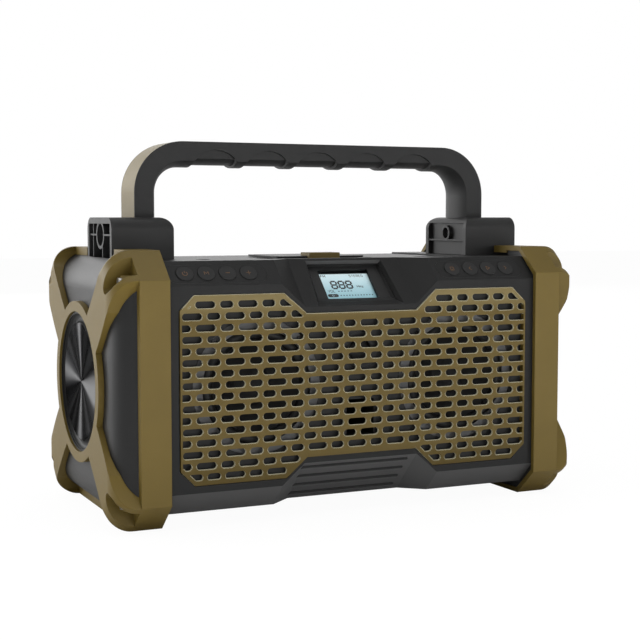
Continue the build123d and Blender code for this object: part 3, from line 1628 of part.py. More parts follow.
with BuildPart() as left_handle_foot:
    add(foot_shape.part)
    add(pocket_room, mode=Mode.SUBTRACT)
    add(inner_room, mode=Mode.SUBTRACT)
    add(pocket_ribs.part)
    add(foot_shape.part, mode=Mode.INTERSECT)
    with BuildSketch(across(-foot_outer_x - 1)):
        with Locations((handle_y, foot_boss_z)):
            Circle(foot_boss_bore)
    extrude(amount=foot_pocket + 1, mode=Mode.SUBTRACT)
    with BuildSketch(across(-foot_inner_x + 1)):
        with Locations((handle_y, foot_boss_z)):
            Circle(foot_inner_boss_bore)
    extrude(amount=-foot_inner_pocket - 1, mode=Mode.SUBTRACT)
    with BuildSketch(leg_plane):
        with BuildLine():
            Polyline(
                (handle_edge_thick + joint_gap, -handle_half_depth - joint_gap),
                (-joint_gap, -handle_half_depth - joint_gap),
                (-joint_gap, handle_half_depth + joint_gap),
                (handle_edge_thick + joint_gap, handle_half_depth + joint_gap),
            )
            ThreePointArc(
                (handle_edge_thick + joint_gap, -handle_half_depth - joint_gap),
                (handle_thick + joint_gap, 0),
                (handle_edge_thick + joint_gap, handle_half_depth + joint_gap),
            )
        make_face()
    extrude(amount=foot_top_z - leg_low_z + 1, mode=Mode.SUBTRACT)
    with BuildSketch(across(-bolt_plane_x - 1)):
        with Locations((handle_y, foot_boss_z)):
            Circle(handle_bolt_radius + joint_gap)
    extrude(amount=bolt_plane_x - foot_inner_x + 2, mode=Mode.SUBTRACT)
    with BuildSketch(Plane.XY.offset(body_top_z - 1)):
        with Locations(*[spot for spot in foot_screw_spots if spot[0] < 0]):
            Circle(foot_screw_radius + joint_gap / 2)
    extrude(amount=foot_screw_length - 1, mode=Mode.SUBTRACT)
save(left_handle_foot.part, "left_handle_foot")
save(other_side(left_handle_foot.part), "right_handle_foot")

handle_bolt = screws(
    Plane(origin=(-bolt_plane_x, 0, 0), x_dir=(0, -1, 0), z_dir=(-1, 0, 0)),
    [(-handle_y, foot_boss_z)],
    (handle_bolt_head_radius, handle_bolt_head, handle_bolt_radius),
    bolt_plane_x - foot_inner_x - foot_inner_pocket - handle_bolt_short,
)
save(on_both_sides(handle_bolt), "handle_bolts")
foot_screws = screws(
    Plane(origin=(0, 0, body_top_z - housing_wall), x_dir=(-1, 0, 0), z_dir=(0, 0, -1)),
    [(-x, y) for x, y in foot_screw_spots],
    (foot_screw_head_radius, foot_screw_head, foot_screw_radius),
    foot_screw_length,
)
save(foot_screws, "foot_screws")

# ---- port tray, lid and latch -----------------------------------------------------------------
deck_low_z = body_top_z - housing_wall - joint_gap
socket_spots = [(x, tray_low_z + socket_rise) for x in socket_xs]
jack_spot = (jack_x, tray_low_z + socket_rise)
with BuildPart() as port_tray:
    add(block((-tray_half, tray_front_y, tray_low_z - tray_wall), (tray_half, tray_back_y, recess_z)))
    add(
        block(
            (-tray_half - tray_flange_width, tray_front_y - tray_flange_width, deck_low_z - tray_flange),
            (tray_half + tray_flange_width, tray_back_y + tray_flange_width, deck_low_z),
        )
    )
    for start, end in knuckle_spans:
        add(
            block(
                (start, tray_back_y - tray_wall, deck_low_z - ear_root),
                (end, lid_axis_y + lid_knuckle_radius, lid_axis_z),
            )
        )
        with BuildSketch(across(start)):
            with Locations((lid_axis_y, lid_axis_z)):
                Circle(lid_knuckle_radius)
        extrude(amount=end - start)
    add(
        block(
            (-tray_half + tray_wall, tray_front_y + tray_wall, tray_low_z),
            (tray_half - tray_wall, tray_back_y - tray_wall, body_top_z + 1),
        ),
        mode=Mode.SUBTRACT,
    )
    with BuildSketch(across(-lid_knuckle_out - 1)):
        with Locations((lid_axis_y, lid_axis_z)):
            Circle(lid_pin_bore)
    extrude(amount=2 * lid_knuckle_out + 2, mode=Mode.SUBTRACT)
    with BuildSketch(facing_front(tray_back_y + 1)):
        with Locations(*socket_spots):
            Rectangle(socket_width + 2 * joint_gap, socket_height + 2 * joint_gap)
        with Locations(jack_spot):
            Circle(jack_radius + joint_gap)
    extrude(amount=tray_wall + 2, mode=Mode.SUBTRACT)
save(port_tray.part, "port_tray")

with BuildPart() as port_sockets:
    with BuildSketch(facing_front(tray_back_y + socket_length)):
        with Locations(*socket_spots):
            Rectangle(socket_width, socket_height)
            Rectangle(
                socket_width - 2 * socket_sheet, socket_height - 2 * socket_sheet, mode=Mode.SUBTRACT
            )
        with Locations(jack_spot):
            Circle(jack_radius)
            Circle(jack_radius - jack_wall, mode=Mode.SUBTRACT)
    extrude(amount=socket_length + tray_wall)
    with BuildSketch(facing_front(tray_back_y + socket_length + socket_base)):
        with Locations(*socket_spots):
            Rectangle(socket_width, socket_height)
        with Locations(jack_spot):
            Circle(jack_radius)
    extrude(amount=socket_base)
save(port_sockets.part, "port_sockets")

rim_half = tray_half - tray_wall - rim_gap
rim_front_y = tray_front_y + tray_wall + rim_gap
rim_back_y = tray_back_y - tray_wall - rim_gap
latch_pin_y = latch_back_y - latch_pin_back
latch_pin_spots = [(-latch_pin_x, latch_pin_y), (latch_pin_x, latch_pin_y)]
with BuildPart() as port_lid:
    add(block((-lid_half, lid_front_y, lid_low_z), (lid_half, lid_back_y, lid_top_z)))
    fillet(port_lid.edges().filter_by(Axis.Z).group_by(Axis.Y)[0], radius=lid_corner)
    for start, end in knuckle_spans:
        add(
            block(
                (start - soft_gap, lid_back_y - lid_knuckle_relief, lid_low_z - 1),
                (end + soft_gap, lid_back_y + 1, lid_top_z + 1),
            ),
            mode=Mode.SUBTRACT,
        )
    add(block((-rim_half, rim_front_y, lid_low_z - lid_rim), (rim_half, rim_back_y, lid_low_z)))
    add(
        block(
            (-rim_half + lid_rim_wall, rim_front_y + lid_rim_wall, lid_low_z - lid_rim - 1),
            (rim_half - lid_rim_wall, rim_back_y - lid_rim_wall, lid_low_z),
        ),
        mode=Mode.SUBTRACT,
    )
    add(
        block(
            (-latch_half, rim_front_y - 1, lid_low_z - lid_rim - 1),
            (latch_half, rim_front_y + lid_rim_wall + 1, lid_low_z),
        ),
        mode=Mode.SUBTRACT,
    )
    with BuildSketch(Plane.XY.offset(lid_low_z - 1)):
        with Locations(*[(x, y - latch_travel / 2) for x, y in latch_pin_spots]):
            SlotOverall(
                2 * (latch_pin_radius + soft_gap) + latch_travel,
                2 * (latch_pin_radius + soft_gap),
                rotation=90,
            )
    extrude(amount=lid_thickness + 2, mode=Mode.SUBTRACT)
    with BuildSketch(across(-lid_knuckle_in + soft_gap)):
        with Locations((lid_axis_y, lid_axis_z)):
            Circle(lid_knuckle_radius)
    extrude(amount=2 * (lid_knuckle_in - soft_gap))
    add(
        block(
            (-lid_knuckle_in + soft_gap, lid_back_y - 1, lid_low_z),
            (lid_knuckle_in - soft_gap, lid_axis_y, lid_top_z),
        )
    )
    with BuildSketch(across(-lid_knuckle_out - 1)):
        with Locations((lid_axis_y, lid_axis_z)):
            Circle(lid_pin_bore)
    extrude(amount=2 * lid_knuckle_out + 2, mode=Mode.SUBTRACT)
save(port_lid.part, "port_lid")
with BuildPart() as lid_pin:
    with BuildSketch(across(-lid_knuckle_out)):
        with Locations((lid_axis_y, lid_axis_z)):
            Circle(lid_pin_radius)
    extrude(amount=2 * lid_knuckle_out)
save(lid_pin.part, "lid_hinge_pin")

latch_inner_y = latch_front_y + latch_front_wall
latch_roof_z = latch_top_z - latch_roof
latch_room_back_y = keeper_back_y + latch_travel + soft_gap
with BuildPart() as lid_latch:
    add(block((-latch_half, latch_front_y, latch_low_z), (latch_half, latch_back_y, latch_top_z)))
    fillet(lid_latch.edges().filter_by(Axis.X).group_by(Axis.Z)[-1], radius=latch_edge)
    add(
        block(
            (-latch_half - 1, lid_front_y - soft_gap, latch_low_z - 1),
            (latch_half + 1, latch_back_y + 1, lid_top_z + joint_gap),
        ),
        mode=Mode.SUBTRACT,
    )
    add(
        block(
            (-latch_half + latch_wall, latch_inner_y, latch_low_z - 1),
            (latch_half - latch_wall, latch_room_back_y, latch_roof_z),
        ),
        mode=Mode.SUBTRACT,
    )
    add(
        block(
            (-latch_half + latch_wall, latch_inner_y, latch_low_z),
            (latch_half - latch_wall, latch_inner_y + latch_toe, latch_low_z + latch_toe_height),
        )
    )
    for row in range(latch_rows):
        ridge_y = latch_back_y - latch_row_start - row * latch_row_pitch
        with BuildSketch(across(-latch_half + latch_wall)):
            with Locations((ridge_y, latch_top_z)):
                Circle(latch_ridge)
        extrude(amount=2 * (latch_half - latch_wall), mode=Mode.SUBTRACT)
    with BuildSketch(Plane.XY.offset(lid_low_z - soft_gap)):
        with Locations(*latch_pin_spots):
            Circle(latch_pin_radius)
    extrude(amount=latch_roof_z - lid_low_z + soft_gap)
    with BuildSketch(Plane.XY.offset(lid_low_z - soft_gap)):
        with Locations(*latch_pin_spots):
            Circle(latch_pin_head)
    extrude(amount=-latch_pin_head_height)
save(lid_latch.part, "lid_latch")

# ---- inside ---------------------------------------------------------------------------------
with BuildPart() as main_board:
    add(block((-board_half, board_y, board_low_z), (board_half, board_face_y, board_high_z)))
    with BuildSketch(facing_front(board_face_y + 1)):
        with Locations(*board_spots):
            Circle(board_pin_radius + joint_gap)
    extrude(amount=board_thickness + 2, mode=Mode.SUBTRACT)
    with BuildSketch(facing_front(board_y)):
        with Locations(*[(x, board_low_z + chip_rise) for x in chip_xs]):
            Rectangle(chip_side, chip_side)
    extrude(amount=chip_height)
    with BuildSketch(facing_front(board_y)):
        with Locations(*[(x, board_low_z + capacitor_rise) for x in capacitor_xs]):
            Circle(capacitor_radius)
    extrude(amount=capacitor_height)
save(main_board.part, "main_board")
with BuildPart() as heat_sink:
    add(
        block(
            (-sink_half, board_y - chip_height - joint_gap - sink_base, sink_low_z),
            (sink_half, board_y - chip_height - joint_gap, sink_low_z + sink_height),
        )
    )
    for fin in range(sink_fins):
        fin_x = -sink_half + fin * (2 * sink_half - sink_fin) / (sink_fins - 1)
        add(
            block(
                (fin_x, board_y - chip_height - joint_gap - sink_base - sink_fin_depth, sink_low_z),
                (fin_x + sink_fin, board_y - chip_height - joint_gap - sink_base, sink_low_z + sink_height),
            )
        )
save(heat_sink.part, "heat_sink")

battery_low_z = body_low_z + housing_wall
cell_spots = [
    (
        battery_y + (i - (battery_cells - 1) / 2) * (2 * battery_cell_radius + battery_cell_gap),
        battery_low_z + battery_floor + battery_cell_radius + joint_gap,
    )
    for i in range(battery_cells)
]
cell_span = battery_cells * (2 * battery_cell_radius + battery_cell_gap) + 2 * battery_floor
with BuildPart() as battery_cradle:
    add(
        block(
            (-battery_cell_length - cradle_end, battery_y - cell_span / 2, battery_low_z),
            (
                battery_cell_length + cradle_end,
                battery_y + cell_span / 2,
                battery_low_z + battery_floor + battery_cell_radius,
            ),
        )
    )
    with BuildSketch(across(-battery_cell_length - 1)):
        with Locations(*cell_spots):
            Circle(battery_cell_radius + joint_gap)
    extrude(amount=2 * battery_cell_length + 2, mode=Mode.SUBTRACT)
save(battery_cradle.part, "battery_cradle")
with BuildPart() as battery_cells_part:
    for start in (-battery_cell_length - battery_cell_gap / 2, battery_cell_gap / 2):
        with BuildSketch(across(start)):
            with Locations(*cell_spots):
                Circle(battery_cell_radius)
        extrude(amount=battery_cell_length)
save(battery_cells_part.part, "battery_cells")
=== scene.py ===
"""Jobsite radio: materials, key symbols, display picture, floor, light and camera."""
import math

import bmesh
import bpy
from mathutils import Matrix, Vector


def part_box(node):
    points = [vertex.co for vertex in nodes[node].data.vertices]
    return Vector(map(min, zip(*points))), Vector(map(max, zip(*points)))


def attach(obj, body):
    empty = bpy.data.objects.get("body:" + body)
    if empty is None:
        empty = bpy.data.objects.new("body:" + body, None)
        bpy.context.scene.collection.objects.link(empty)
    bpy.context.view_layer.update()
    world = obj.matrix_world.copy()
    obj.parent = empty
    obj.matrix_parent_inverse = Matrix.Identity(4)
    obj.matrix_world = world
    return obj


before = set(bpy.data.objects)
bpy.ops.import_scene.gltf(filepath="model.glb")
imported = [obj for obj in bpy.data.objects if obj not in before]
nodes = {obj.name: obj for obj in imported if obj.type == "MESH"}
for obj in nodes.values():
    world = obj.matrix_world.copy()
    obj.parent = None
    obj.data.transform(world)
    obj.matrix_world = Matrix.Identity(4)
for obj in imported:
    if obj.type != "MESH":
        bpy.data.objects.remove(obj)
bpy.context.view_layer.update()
scene = bpy.context.scene


# ---- colours ----------------------------------------------------------------------------------
def srgb(r, g, b):
    """Display colour 0 to 255 as a linear colour."""
    def linear(v):
        v = v / 255
        return v / 12.92 if v <= 0.04045 else ((v + 0.055) / 1.055) ** 2.4
    return (linear(r), linear(g), linear(b), 1.0)


def grey(level):
    return srgb(level, level, level)


def tint(colour, factor):
    """The colour times factor, no brighter than white."""
    return tuple(min(1.0, part * factor) for part in colour[:3]) + (1.0,)


WHITE = (1.0, 1.0, 1.0, 1.0)


# ---- shader nodes -----------------------------------------------------------------------------
def fresh(name):
    """A new material with its node tree and its main shader."""
    mat = bpy.data.materials.new(name)
    mat.use_nodes = True
    return mat, mat.node_tree, mat.node_tree.nodes["Principled BSDF"]


def feed(tree, value, socket):
    """Links the socket to another node's output, or sets it to a plain value."""
    if hasattr(value, "is_linked"):
        tree.links.new(value, socket)
    else:
        socket.default_value = value


def coords(tree, scale=(1, 1, 1)):
    """Object coordinates in millimetres, stretched by scale. Noise scales are then per millimetre."""
    place = tree.nodes.new("ShaderNodeTexCoord")
    mapping = tree.nodes.new("ShaderNodeMapping")
    mapping.inputs["Scale"].default_value = tuple(1000 * s for s in scale)
    tree.links.new(place.outputs["Object"], mapping.inputs["Vector"])
    return mapping.outputs["Vector"]


def split(tree, vector):
    """A vector's X, Y and Z."""
    node = tree.nodes.new("ShaderNodeSeparateXYZ")
    tree.links.new(vector, node.inputs["Vector"])
    return node.outputs


def in_own_box(tree):
    """Place within the piece's own box: X, Y and Z run from 0 to 1."""
    return split(tree, tree.nodes.new("ShaderNodeTexCoord").outputs["Generated"])


def of_surface(tree, output):
    """X, Y and Z of what the surface says, such as its Position or True Normal."""
    return split(tree, tree.nodes.new("ShaderNodeNewGeometry").outputs[output])


def noise(tree, vector, scale, detail=3.0, rough=0.55):
    node = tree.nodes.new("ShaderNodeTexNoise")
    node.inputs["Scale"].default_value = scale
    node.inputs["Detail"].default_value = detail
    node.inputs["Roughness"].default_value = rough
    tree.links.new(vector, node.inputs["Vector"])
    return node.outputs["Fac"]


def ramp(tree, fac, *stops):
    """Colour ramp: stops are (position, linear colour)."""
    node = tree.nodes.new("ShaderNodeValToRGB")
    band = node.color_ramp
    while len(band.elements) < len(stops):
        band.elements.new(0.5)
    for element, (position, colour) in zip(band.elements, stops):
        element.position = position
        element.color = colour
    tree.links.new(fac, node.inputs["Fac"])
    return node.outputs["Color"]


def spread(tree, fac, low, high, out_low, out_high):
    """Maps low to high onto out_low to out_high, and stays within them."""
    node = tree.nodes.new("ShaderNodeMapRange")
    node.inputs["From Min"].default_value = low
    node.inputs["From Max"].default_value = high
    node.inputs["To Min"].default_value = out_low
    node.inputs["To Max"].default_value = out_high
    tree.links.new(fac, node.inputs["Value"])
    return node.outputs["Result"]


def mix(tree, fac, a, b, blend="MIX"):
    """Colour a turned into b as fac goes from 0 to 1."""
    node = tree.nodes.new("ShaderNodeMix")
    node.data_type = "RGBA"
    node.blend_type = blend
    for index, value in ((0, fac), (6, a), (7, b)):
        feed(tree, value, node.inputs[index])
    return node.outputs[2]


def maths(tree, operation, a, b=0.0, clamp=False):
    node = tree.nodes.new("ShaderNodeMath")
    node.operation = operation
    node.use_clamp = clamp
    feed(tree, a, node.inputs[0])
    feed(tree, b, node.inputs[1])
    return node.outputs[0]


def times(tree, a, b, clamp=False):
    return maths(tree, "MULTIPLY", a, b, clamp)


def bumpy(tree, shader, height, strength, distance, normal=None):
    """Gives the shader a bump, on top of a normal where there is one."""
    bump = tree.nodes.new("ShaderNodeBump")
    bump.inputs["Strength"].default_value = strength
    bump.inputs["Distance"].default_value = distance
    tree.links.new(height, bump.inputs["Height"])
    if normal is not None:
        tree.links.new(normal, bump.inputs["Normal"])
    tree.links.new(bump.outputs["Normal"], shader.inputs["Normal"])


EDGE_STARTS = 0.995  # cosine between the rounded and the flat normal
EDGE_FULL = 0.86


def edge_mask(tree, radius):
    """Normal with edges rounded to radius, and a mask that is high along them."""
    bevel = tree.nodes.new("ShaderNodeBevel")
    bevel.samples = 4
    bevel.inputs["Radius"].default_value = radius
    geometry = tree.nodes.new("ShaderNodeNewGeometry")
    dot = tree.nodes.new("ShaderNodeVectorMath")
    dot.operation = "DOT_PRODUCT"
    tree.links.new(bevel.outputs["Normal"], dot.inputs[0])
    tree.links.new(geometry.outputs["Normal"], dot.inputs[1])
    return bevel.outputs["Normal"], spread(tree, dot.outputs["Value"], EDGE_STARTS, EDGE_FULL, 0.0, 1.0)


def paint_over(mat, fac, paint):
    """Turns a material's own colour into paint as fac goes from 0 to 1."""
    tree = mat.node_tree
    colour = tree.nodes["Principled BSDF"].inputs["Base Color"]
    tree.links.new(mix(tree, fac, colour.links[0].from_socket, paint), colour)


def shader_switch(tree, fac, first, second, output):
    """Shows the first shader where fac is 0 and the second where it is 1."""
    mixer = tree.nodes.new("ShaderNodeMixShader")
    tree.links.new(fac, mixer.inputs[0])
    tree.links.new(first.outputs[0], mixer.inputs[1])
    tree.links.new(second.outputs[0], mixer.inputs[2])
    tree.links.new(mixer.outputs[0], output.inputs["Surface"])


# ---- kinds of material ------------------------------------------------------------------------
GRAIN_BUMP = 0.0001  # depth of moulded grain and powder coat, in metres


def mottled(tree, colour, grain, drift, dark, light):
    """Coordinates, the grain's noise, and the colour with its slow drift and its darker pits."""
    at = coords(tree)
    fine = noise(tree, at, grain, 4.0, 0.6)
    slow = noise(tree, at, drift, 2.0)
    base = ramp(tree, slow, (0.3, tint(colour, dark)), (0.7, tint(colour, light)))
    above_pits = spread(tree, fine, 0.35, 0.65, 0.0, 1.0)
    return at, fine, mix(tree, above_pits, tint(colour, 0.9), base)


def moulded(name, colour, rough=0.5, grain=2.2, bump=0.25, edge=0.0004, edge_wear_and_highlight=0.25, specular=0.25):
    """Textured moulded plastic: fine grain, slow colour drift, and edges paler in patches, partly rubbed wear
    and partly painted highlight.
    """
    mat, tree, shader = fresh(name)
    at, fine, base = mottled(tree, colour, grain, drift=0.03, dark=0.93, light=1.07)
    normal, edges = edge_mask(tree, edge)
    # paler edges: partly rubbed wear, partly painted highlight along the edges
    rubbed_and_highlit = mix(tree, 0.5, base, tint(colour, 2.2))
    patches = spread(tree, noise(tree, at, 0.25, 3.0), 0.35, 0.7, 0.0, edge_wear_and_highlight)
    wear_and_highlight_mask = times(tree, edges, patches, clamp=True)
    tree.links.new(mix(tree, wear_and_highlight_mask, base, rubbed_and_highlit), shader.inputs["Base Color"])
    tree.links.new(spread(tree, fine, 0.3, 0.7, rough - 0.05, rough + 0.07), shader.inputs["Roughness"])
    shader.inputs["Specular IOR Level"].default_value = specular
    bumpy(tree, shader, fine, bump, GRAIN_BUMP, normal)
    return mat


def rubber(name, colour, rough=0.6):
    return moulded(name, colour, rough, grain=3.5, bump=0.12, edge=0.0002, edge_wear_and_highlight=0.1)


def metal(name, colour, rough, stretch=(1, 1, 1), scale=1.5):
    """Metal with fine lines along the side that stretch makes small."""
    mat, tree, shader = fresh(name)
    shader.inputs["Metallic"].default_value = 1.0
    fine = noise(tree, coords(tree, stretch), scale, 5.0, 0.65)
    shade = ramp(tree, fine, (0.3, tint(colour, 0.82)), (0.7, tint(colour, 1.12)))
    tree.links.new(shade, shader.inputs["Base Color"])
    tree.links.new(spread(tree, fine, 0.3, 0.7, rough - 0.05, rough + 0.05), shader.inputs["Roughness"])
    bumpy(tree, shader, fine, 0.15, 0.00005)
    return mat


def ink(name, colour):
    """Thin printed or painted colour."""
    mat, tree, shader = fresh(name)
    fine = noise(tree, coords(tree), 6.0, 2.0)
    shade = ramp(tree, fine, (0.3, tint(colour, 0.9)), (0.7, tint(colour, 1.1)))
    tree.links.new(shade, shader.inputs["Base Color"])
    shader.inputs["Roughness"].default_value = 0.45
    return mat


# ---- housing and display bezel ------------------------------------------------------------------
def housing_charcoal():
    """Charcoal plastic, with painted light on the chamfers under the housing, which lean down."""
    # the strong edge paling here is mostly painted highlight along the rib edges, with some wear
    mat = moulded("housing_charcoal", grey(40), rough=0.46, bump=0.3, edge=0.0006, edge_wear_and_highlight=0.55, specular=0.16)
    tree = mat.node_tree
    # painted light: paler grey where the surface leans down
    painted_light_leaning_down = spread(tree, of_surface(tree, "True Normal")["Z"], -0.2, -0.55, 0.0, 0.85)
    paint_over(mat, painted_light_leaning_down, grey(92))
    return mat


HOLLOW_REACH = 0.012  # how far around a point the bezel looks for walls, in metres


def bezel_black():
    """Black plastic, with painted shade in the deep corners around the display."""
    mat = moulded("bezel_black", grey(42), rough=0.42, grain=2.4, bump=0.15, edge=0.0003, edge_wear_and_highlight=0.15)
    tree = mat.node_tree
    openness = tree.nodes.new("ShaderNodeAmbientOcclusion")
    openness.inputs["Distance"].default_value = HOLLOW_REACH
    # painted shade: near black where walls close in around the point
    paint_over(mat, spread(tree, openness.outputs["AO"], 0.9, 0.45, 0.0, 0.95), (0.002, 0.002, 0.002, 1.0))
    return mat


# ---- spun radiator discs ------------------------------------------------------------------------
RAY_NARROWNESS = 80.0
BAND_NARROWNESS = 26.0
BAND_TILT = math.radians(7.0)


def painted_highlight_fans(tree, up, across):
    """Painted highlights around the middle, darker between them: an upright ray, a nearly level band and soft
    fans.
    """
    soft_at = tree.nodes.new("ShaderNodeCombineXYZ")
    tree.links.new(across, soft_at.inputs["X"])
    tree.links.new(up, soft_at.inputs["Y"])
    soft = spread(tree, noise(tree, soft_at.outputs["Vector"], 2.2, 1.0, 0.5), 0.4, 0.66, 0.05, 0.5)
    upright = maths(tree, "ABSOLUTE", up)
    ray = times(tree, maths(tree, "POWER", upright, RAY_NARROWNESS), 0.85)
    level = maths(tree, "ADD", times(tree, across, math.cos(BAND_TILT)), times(tree, up, math.sin(BAND_TILT)))
    band = times(tree, maths(tree, "POWER", maths(tree, "ABSOLUTE", level), BAND_NARROWNESS), 0.8)
    return maths(tree, "ADD", maths(tree, "MAXIMUM", ray, band), soft, clamp=True)


def spun_disc():
    """Spun aluminium: fine rings, and fans of painted highlight, darker between them, around the middle."""
    mat, tree, shader = fresh("spun_disc")
    place = in_own_box(tree)
    up = maths(tree, "SUBTRACT", place["Z"], 0.5)
    across = maths(tree, "SUBTRACT", place["Y"], 0.5)
    radius = maths(tree, "SQRT", maths(tree, "ADD", times(tree, up, up), times(tree, across, across)))
    # the fans depend on the direction from the middle alone, so they close on themselves
    inverse = maths(tree, "DIVIDE", 1.0, maths(tree, "MAXIMUM", radius, 0.005))
    highlight_tone = painted_highlight_fans(tree, times(tree, up, inverse), times(tree, across, inverse))
    groove = tree.nodes.new("ShaderNodeTexNoise")
    groove.noise_dimensions = "1D"
    groove.inputs["Scale"].default_value = 180.0
    groove.inputs["Detail"].default_value = 3.0
    tree.links.new(radius, groove.inputs["W"])
    rings = groove.outputs["Fac"]

    # painted highlight: the fans put into the colour stand in for the metal's highlights
    shade = ramp(tree, highlight_tone, (0.0, grey(52)), (0.5, srgb(76, 76, 77)), (1.0, srgb(122, 122, 123)))
    ring_shade = ramp(tree, rings, (0.3, (0.86, 0.86, 0.86, 1.0)), (0.7, WHITE))
    tree.links.new(mix(tree, 1.0, shade, ring_shade, "MULTIPLY"), shader.inputs["Base Color"])
    # the painted fans also tint the reflection, so they show seen from the side as well
    painted_reflection_tint = ramp(tree, highlight_tone, (0.0, grey(130)), (0.5, grey(165)), (1.0, grey(225)))
    tree.links.new(painted_reflection_tint, shader.inputs["Specular Tint"])
    tree.links.new(spread(tree, rings, 0.3, 0.7, 0.3, 0.4), shader.inputs["Roughness"])
    bumpy(tree, shader, rings, 0.2, 0.00004)

    shader.inputs["Metallic"].default_value = 1.0
    shader.inputs["Anisotropic"].default_value = 0.6
    tangent = tree.nodes.new("ShaderNodeTangent")
    tangent.direction_type = "RADIAL"
    tangent.axis = "X"
    tree.links.new(tangent.outputs["Tangent"], shader.inputs["Tangent"])
    return mat


# ---- grille -------------------------------------------------------------------------------------
GRILLE_TAN = srgb(101, 84, 36)
RIM = 0.0011  # reach of the painted highlight round a slot, in metres
RIM_HALF = 0.494  # of the grille's length: its own two ends have no rim


def grille_coat():
    """Tan powder coat, with painted highlight round the slots and on their cut edges, painted light on the
    bent top and painted shade on the bent foot.
    """
    mat, tree, shader = fresh("grille_coat")
    _, fine, coat = mottled(tree, GRILLE_TAN, 1.9, drift=0.02, dark=0.95, light=1.06)
    # the bent foot gets painted shade, the bent top painted light
    place = in_own_box(tree)
    coat = mix(tree, spread(tree, place["Z"], 0.14, 0.05, 0.0, 0.75), coat, tint(GRILLE_TAN, 0.7))
    coat = mix(tree, spread(tree, place["Z"], 0.865, 0.95, 0.0, 0.85), coat, srgb(134, 119, 78))

    rounded, rim = edge_mask(tree, RIM)
    not_facing_down = spread(tree, split(tree, rounded)["Z"], -0.35, 0.0, 0.0, 1.0)
    facing_front = maths(tree, "ABSOLUTE", of_surface(tree, "True Normal")["Y"])
    cut_edge = spread(tree, facing_front, 0.5, 0.3, 0.0, 1.0)
    from_middle = maths(tree, "ABSOLUTE", maths(tree, "SUBTRACT", place["X"], 0.5))
    inside_ends = maths(tree, "LESS_THAN", from_middle, RIM_HALF)
    # painted highlight: pale on slot rims that do not face down, and on the cut edges
    painted_highlight_mask = times(tree, maths(tree, "MAXIMUM", times(tree, rim, not_facing_down), cut_edge), inside_ends)
    tree.links.new(mix(tree, painted_highlight_mask, coat, srgb(196, 192, 166)), shader.inputs["Base Color"])
    tree.links.new(spread(tree, fine, 0.3, 0.7, 0.42, 0.55), shader.inputs["Roughness"])
    shader.inputs["Specular IOR Level"].default_value = 0.25
    bumpy(tree, shader, fine, 0.3, GRAIN_BUMP)
    return mat


# ---- the 45 degree slope that carries the keys and the display ----------------------------------
ROOT2 = math.sqrt(2)
ACROSS = Vector((1, 0, 0))
UP_SLOPE = Vector((0, 1, 1)) / ROOT2
OUT_OF_SLOPE = Vector((0, -1, 1)) / ROOT2


def reach_on_slope(node):
    """Lowest and highest place of a node up the slope, and its outermost place."""
    corners = [vertex.co for vertex in nodes[node].data.vertices]
    heights = [corner.dot(UP_SLOPE) for corner in corners]
    return min(heights), max(heights), max(corner.dot(OUT_OF_SLOPE) for corner in corners)


def face_on_slope(node, right=0.0, up=0.0, out=0.0):
    """Matrix from a flat drawing to the middle of a node's outer face, moved by right, up and out."""
    low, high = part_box(node)
    foot, top, face = reach_on_slope(node)
    origin = ACROSS * ((low[0] + high[0]) / 2 + right)
    origin += UP_SLOPE * ((foot + top) / 2 + up) + OUT_OF_SLOPE * (face + out)
    turn = Matrix((ACROSS, UP_SLOPE, OUT_OF_SLOPE)).transposed().to_4x4()
    return Matrix.Translation(origin) @ turn


# ---- display ------------------------------------------------------------------------------------
LCD_BAND = 0.0047  # painted shadow band along the panel's top edge, in metres


def lcd_glass():
    """Clear window, with an index so low that it reflects little."""
    mat, _, shader = fresh("display_glass")
    shader.inputs["Base Color"].default_value = (0.95, 0.98, 1.0, 1.0)
    shader.inputs["Transmission Weight"].default_value = 1.0
    shader.inputs["Roughness"].default_value = 0.02
    shader.inputs["IOR"].default_value = 1.15
    return mat


def lcd_panel():
    """Back-lit liquid crystal: pale at the top, bluer at the foot, with a painted shadow along the top edge.
    """
    mat, tree, shader = fresh("display_lcd")
    painted_highlight_mask, middle, blue = srgb(214, 228, 229), srgb(158, 187, 192), srgb(112, 156, 164)
    colour = ramp(tree, in_own_box(tree)["Z"], (0.1, blue), (0.5, middle), (0.9, painted_highlight_mask))
    cloud = spread(tree, noise(tree, coords(tree), 3.0, 2.0), 0.3, 0.7, 0.0, 0.06)
    colour = mix(tree, cloud, colour, srgb(120, 160, 170))
    # painted shadow of the window's walls along the panel's top edge
    _, top, face = reach_on_slope("display_panel")
    band_z = (top - LCD_BAND + face) / ROOT2
    in_painted_shadow = maths(tree, "GREATER_THAN", of_surface(tree, "Position")["Z"], band_z)
    colour = mix(tree, in_painted_shadow, colour, srgb(12, 13, 14))
    tree.links.new(colour, shader.inputs["Base Color"])
    tree.links.new(colour, shader.inputs["Emission Color"])
    shader.inputs["Emission Strength"].default_value = 0.3
    shader.inputs["Roughness"].default_value = 0.35
    return mat


# ---- flat drawings, in millimetres --------------------------------------------------------------
MARK_THICK = 0.00005  # in metres
SHARPEST_MITRE = 0.5  # a stroke's corner sticks out no further than 1 / this
KEY_LINE = 0.36
SEGMENT_LINE = 1.35
SEGMENT_GAP = 0.3


def line(width, *points):
    """Open stroke: its points, its width and whether it is closed."""
    return points, width, False


def loop(width, *points):
    """Closed stroke."""
    return points, width, True


def arc(cx, cy, r, start, end, steps=18):
    angles = [math.radians(start + (end - start) * i / steps) for i in range(steps + 1)]
    return [(cx + r * math.cos(angle), cy + r * math.sin(angle)) for angle in angles]


def dashes(count, x, y, pitch, length, width):
    """Row of short level strokes that starts at x, y."""
    return [line(width, (x + i * pitch, y), (x + i * pitch + length, y)) for i in range(count)]


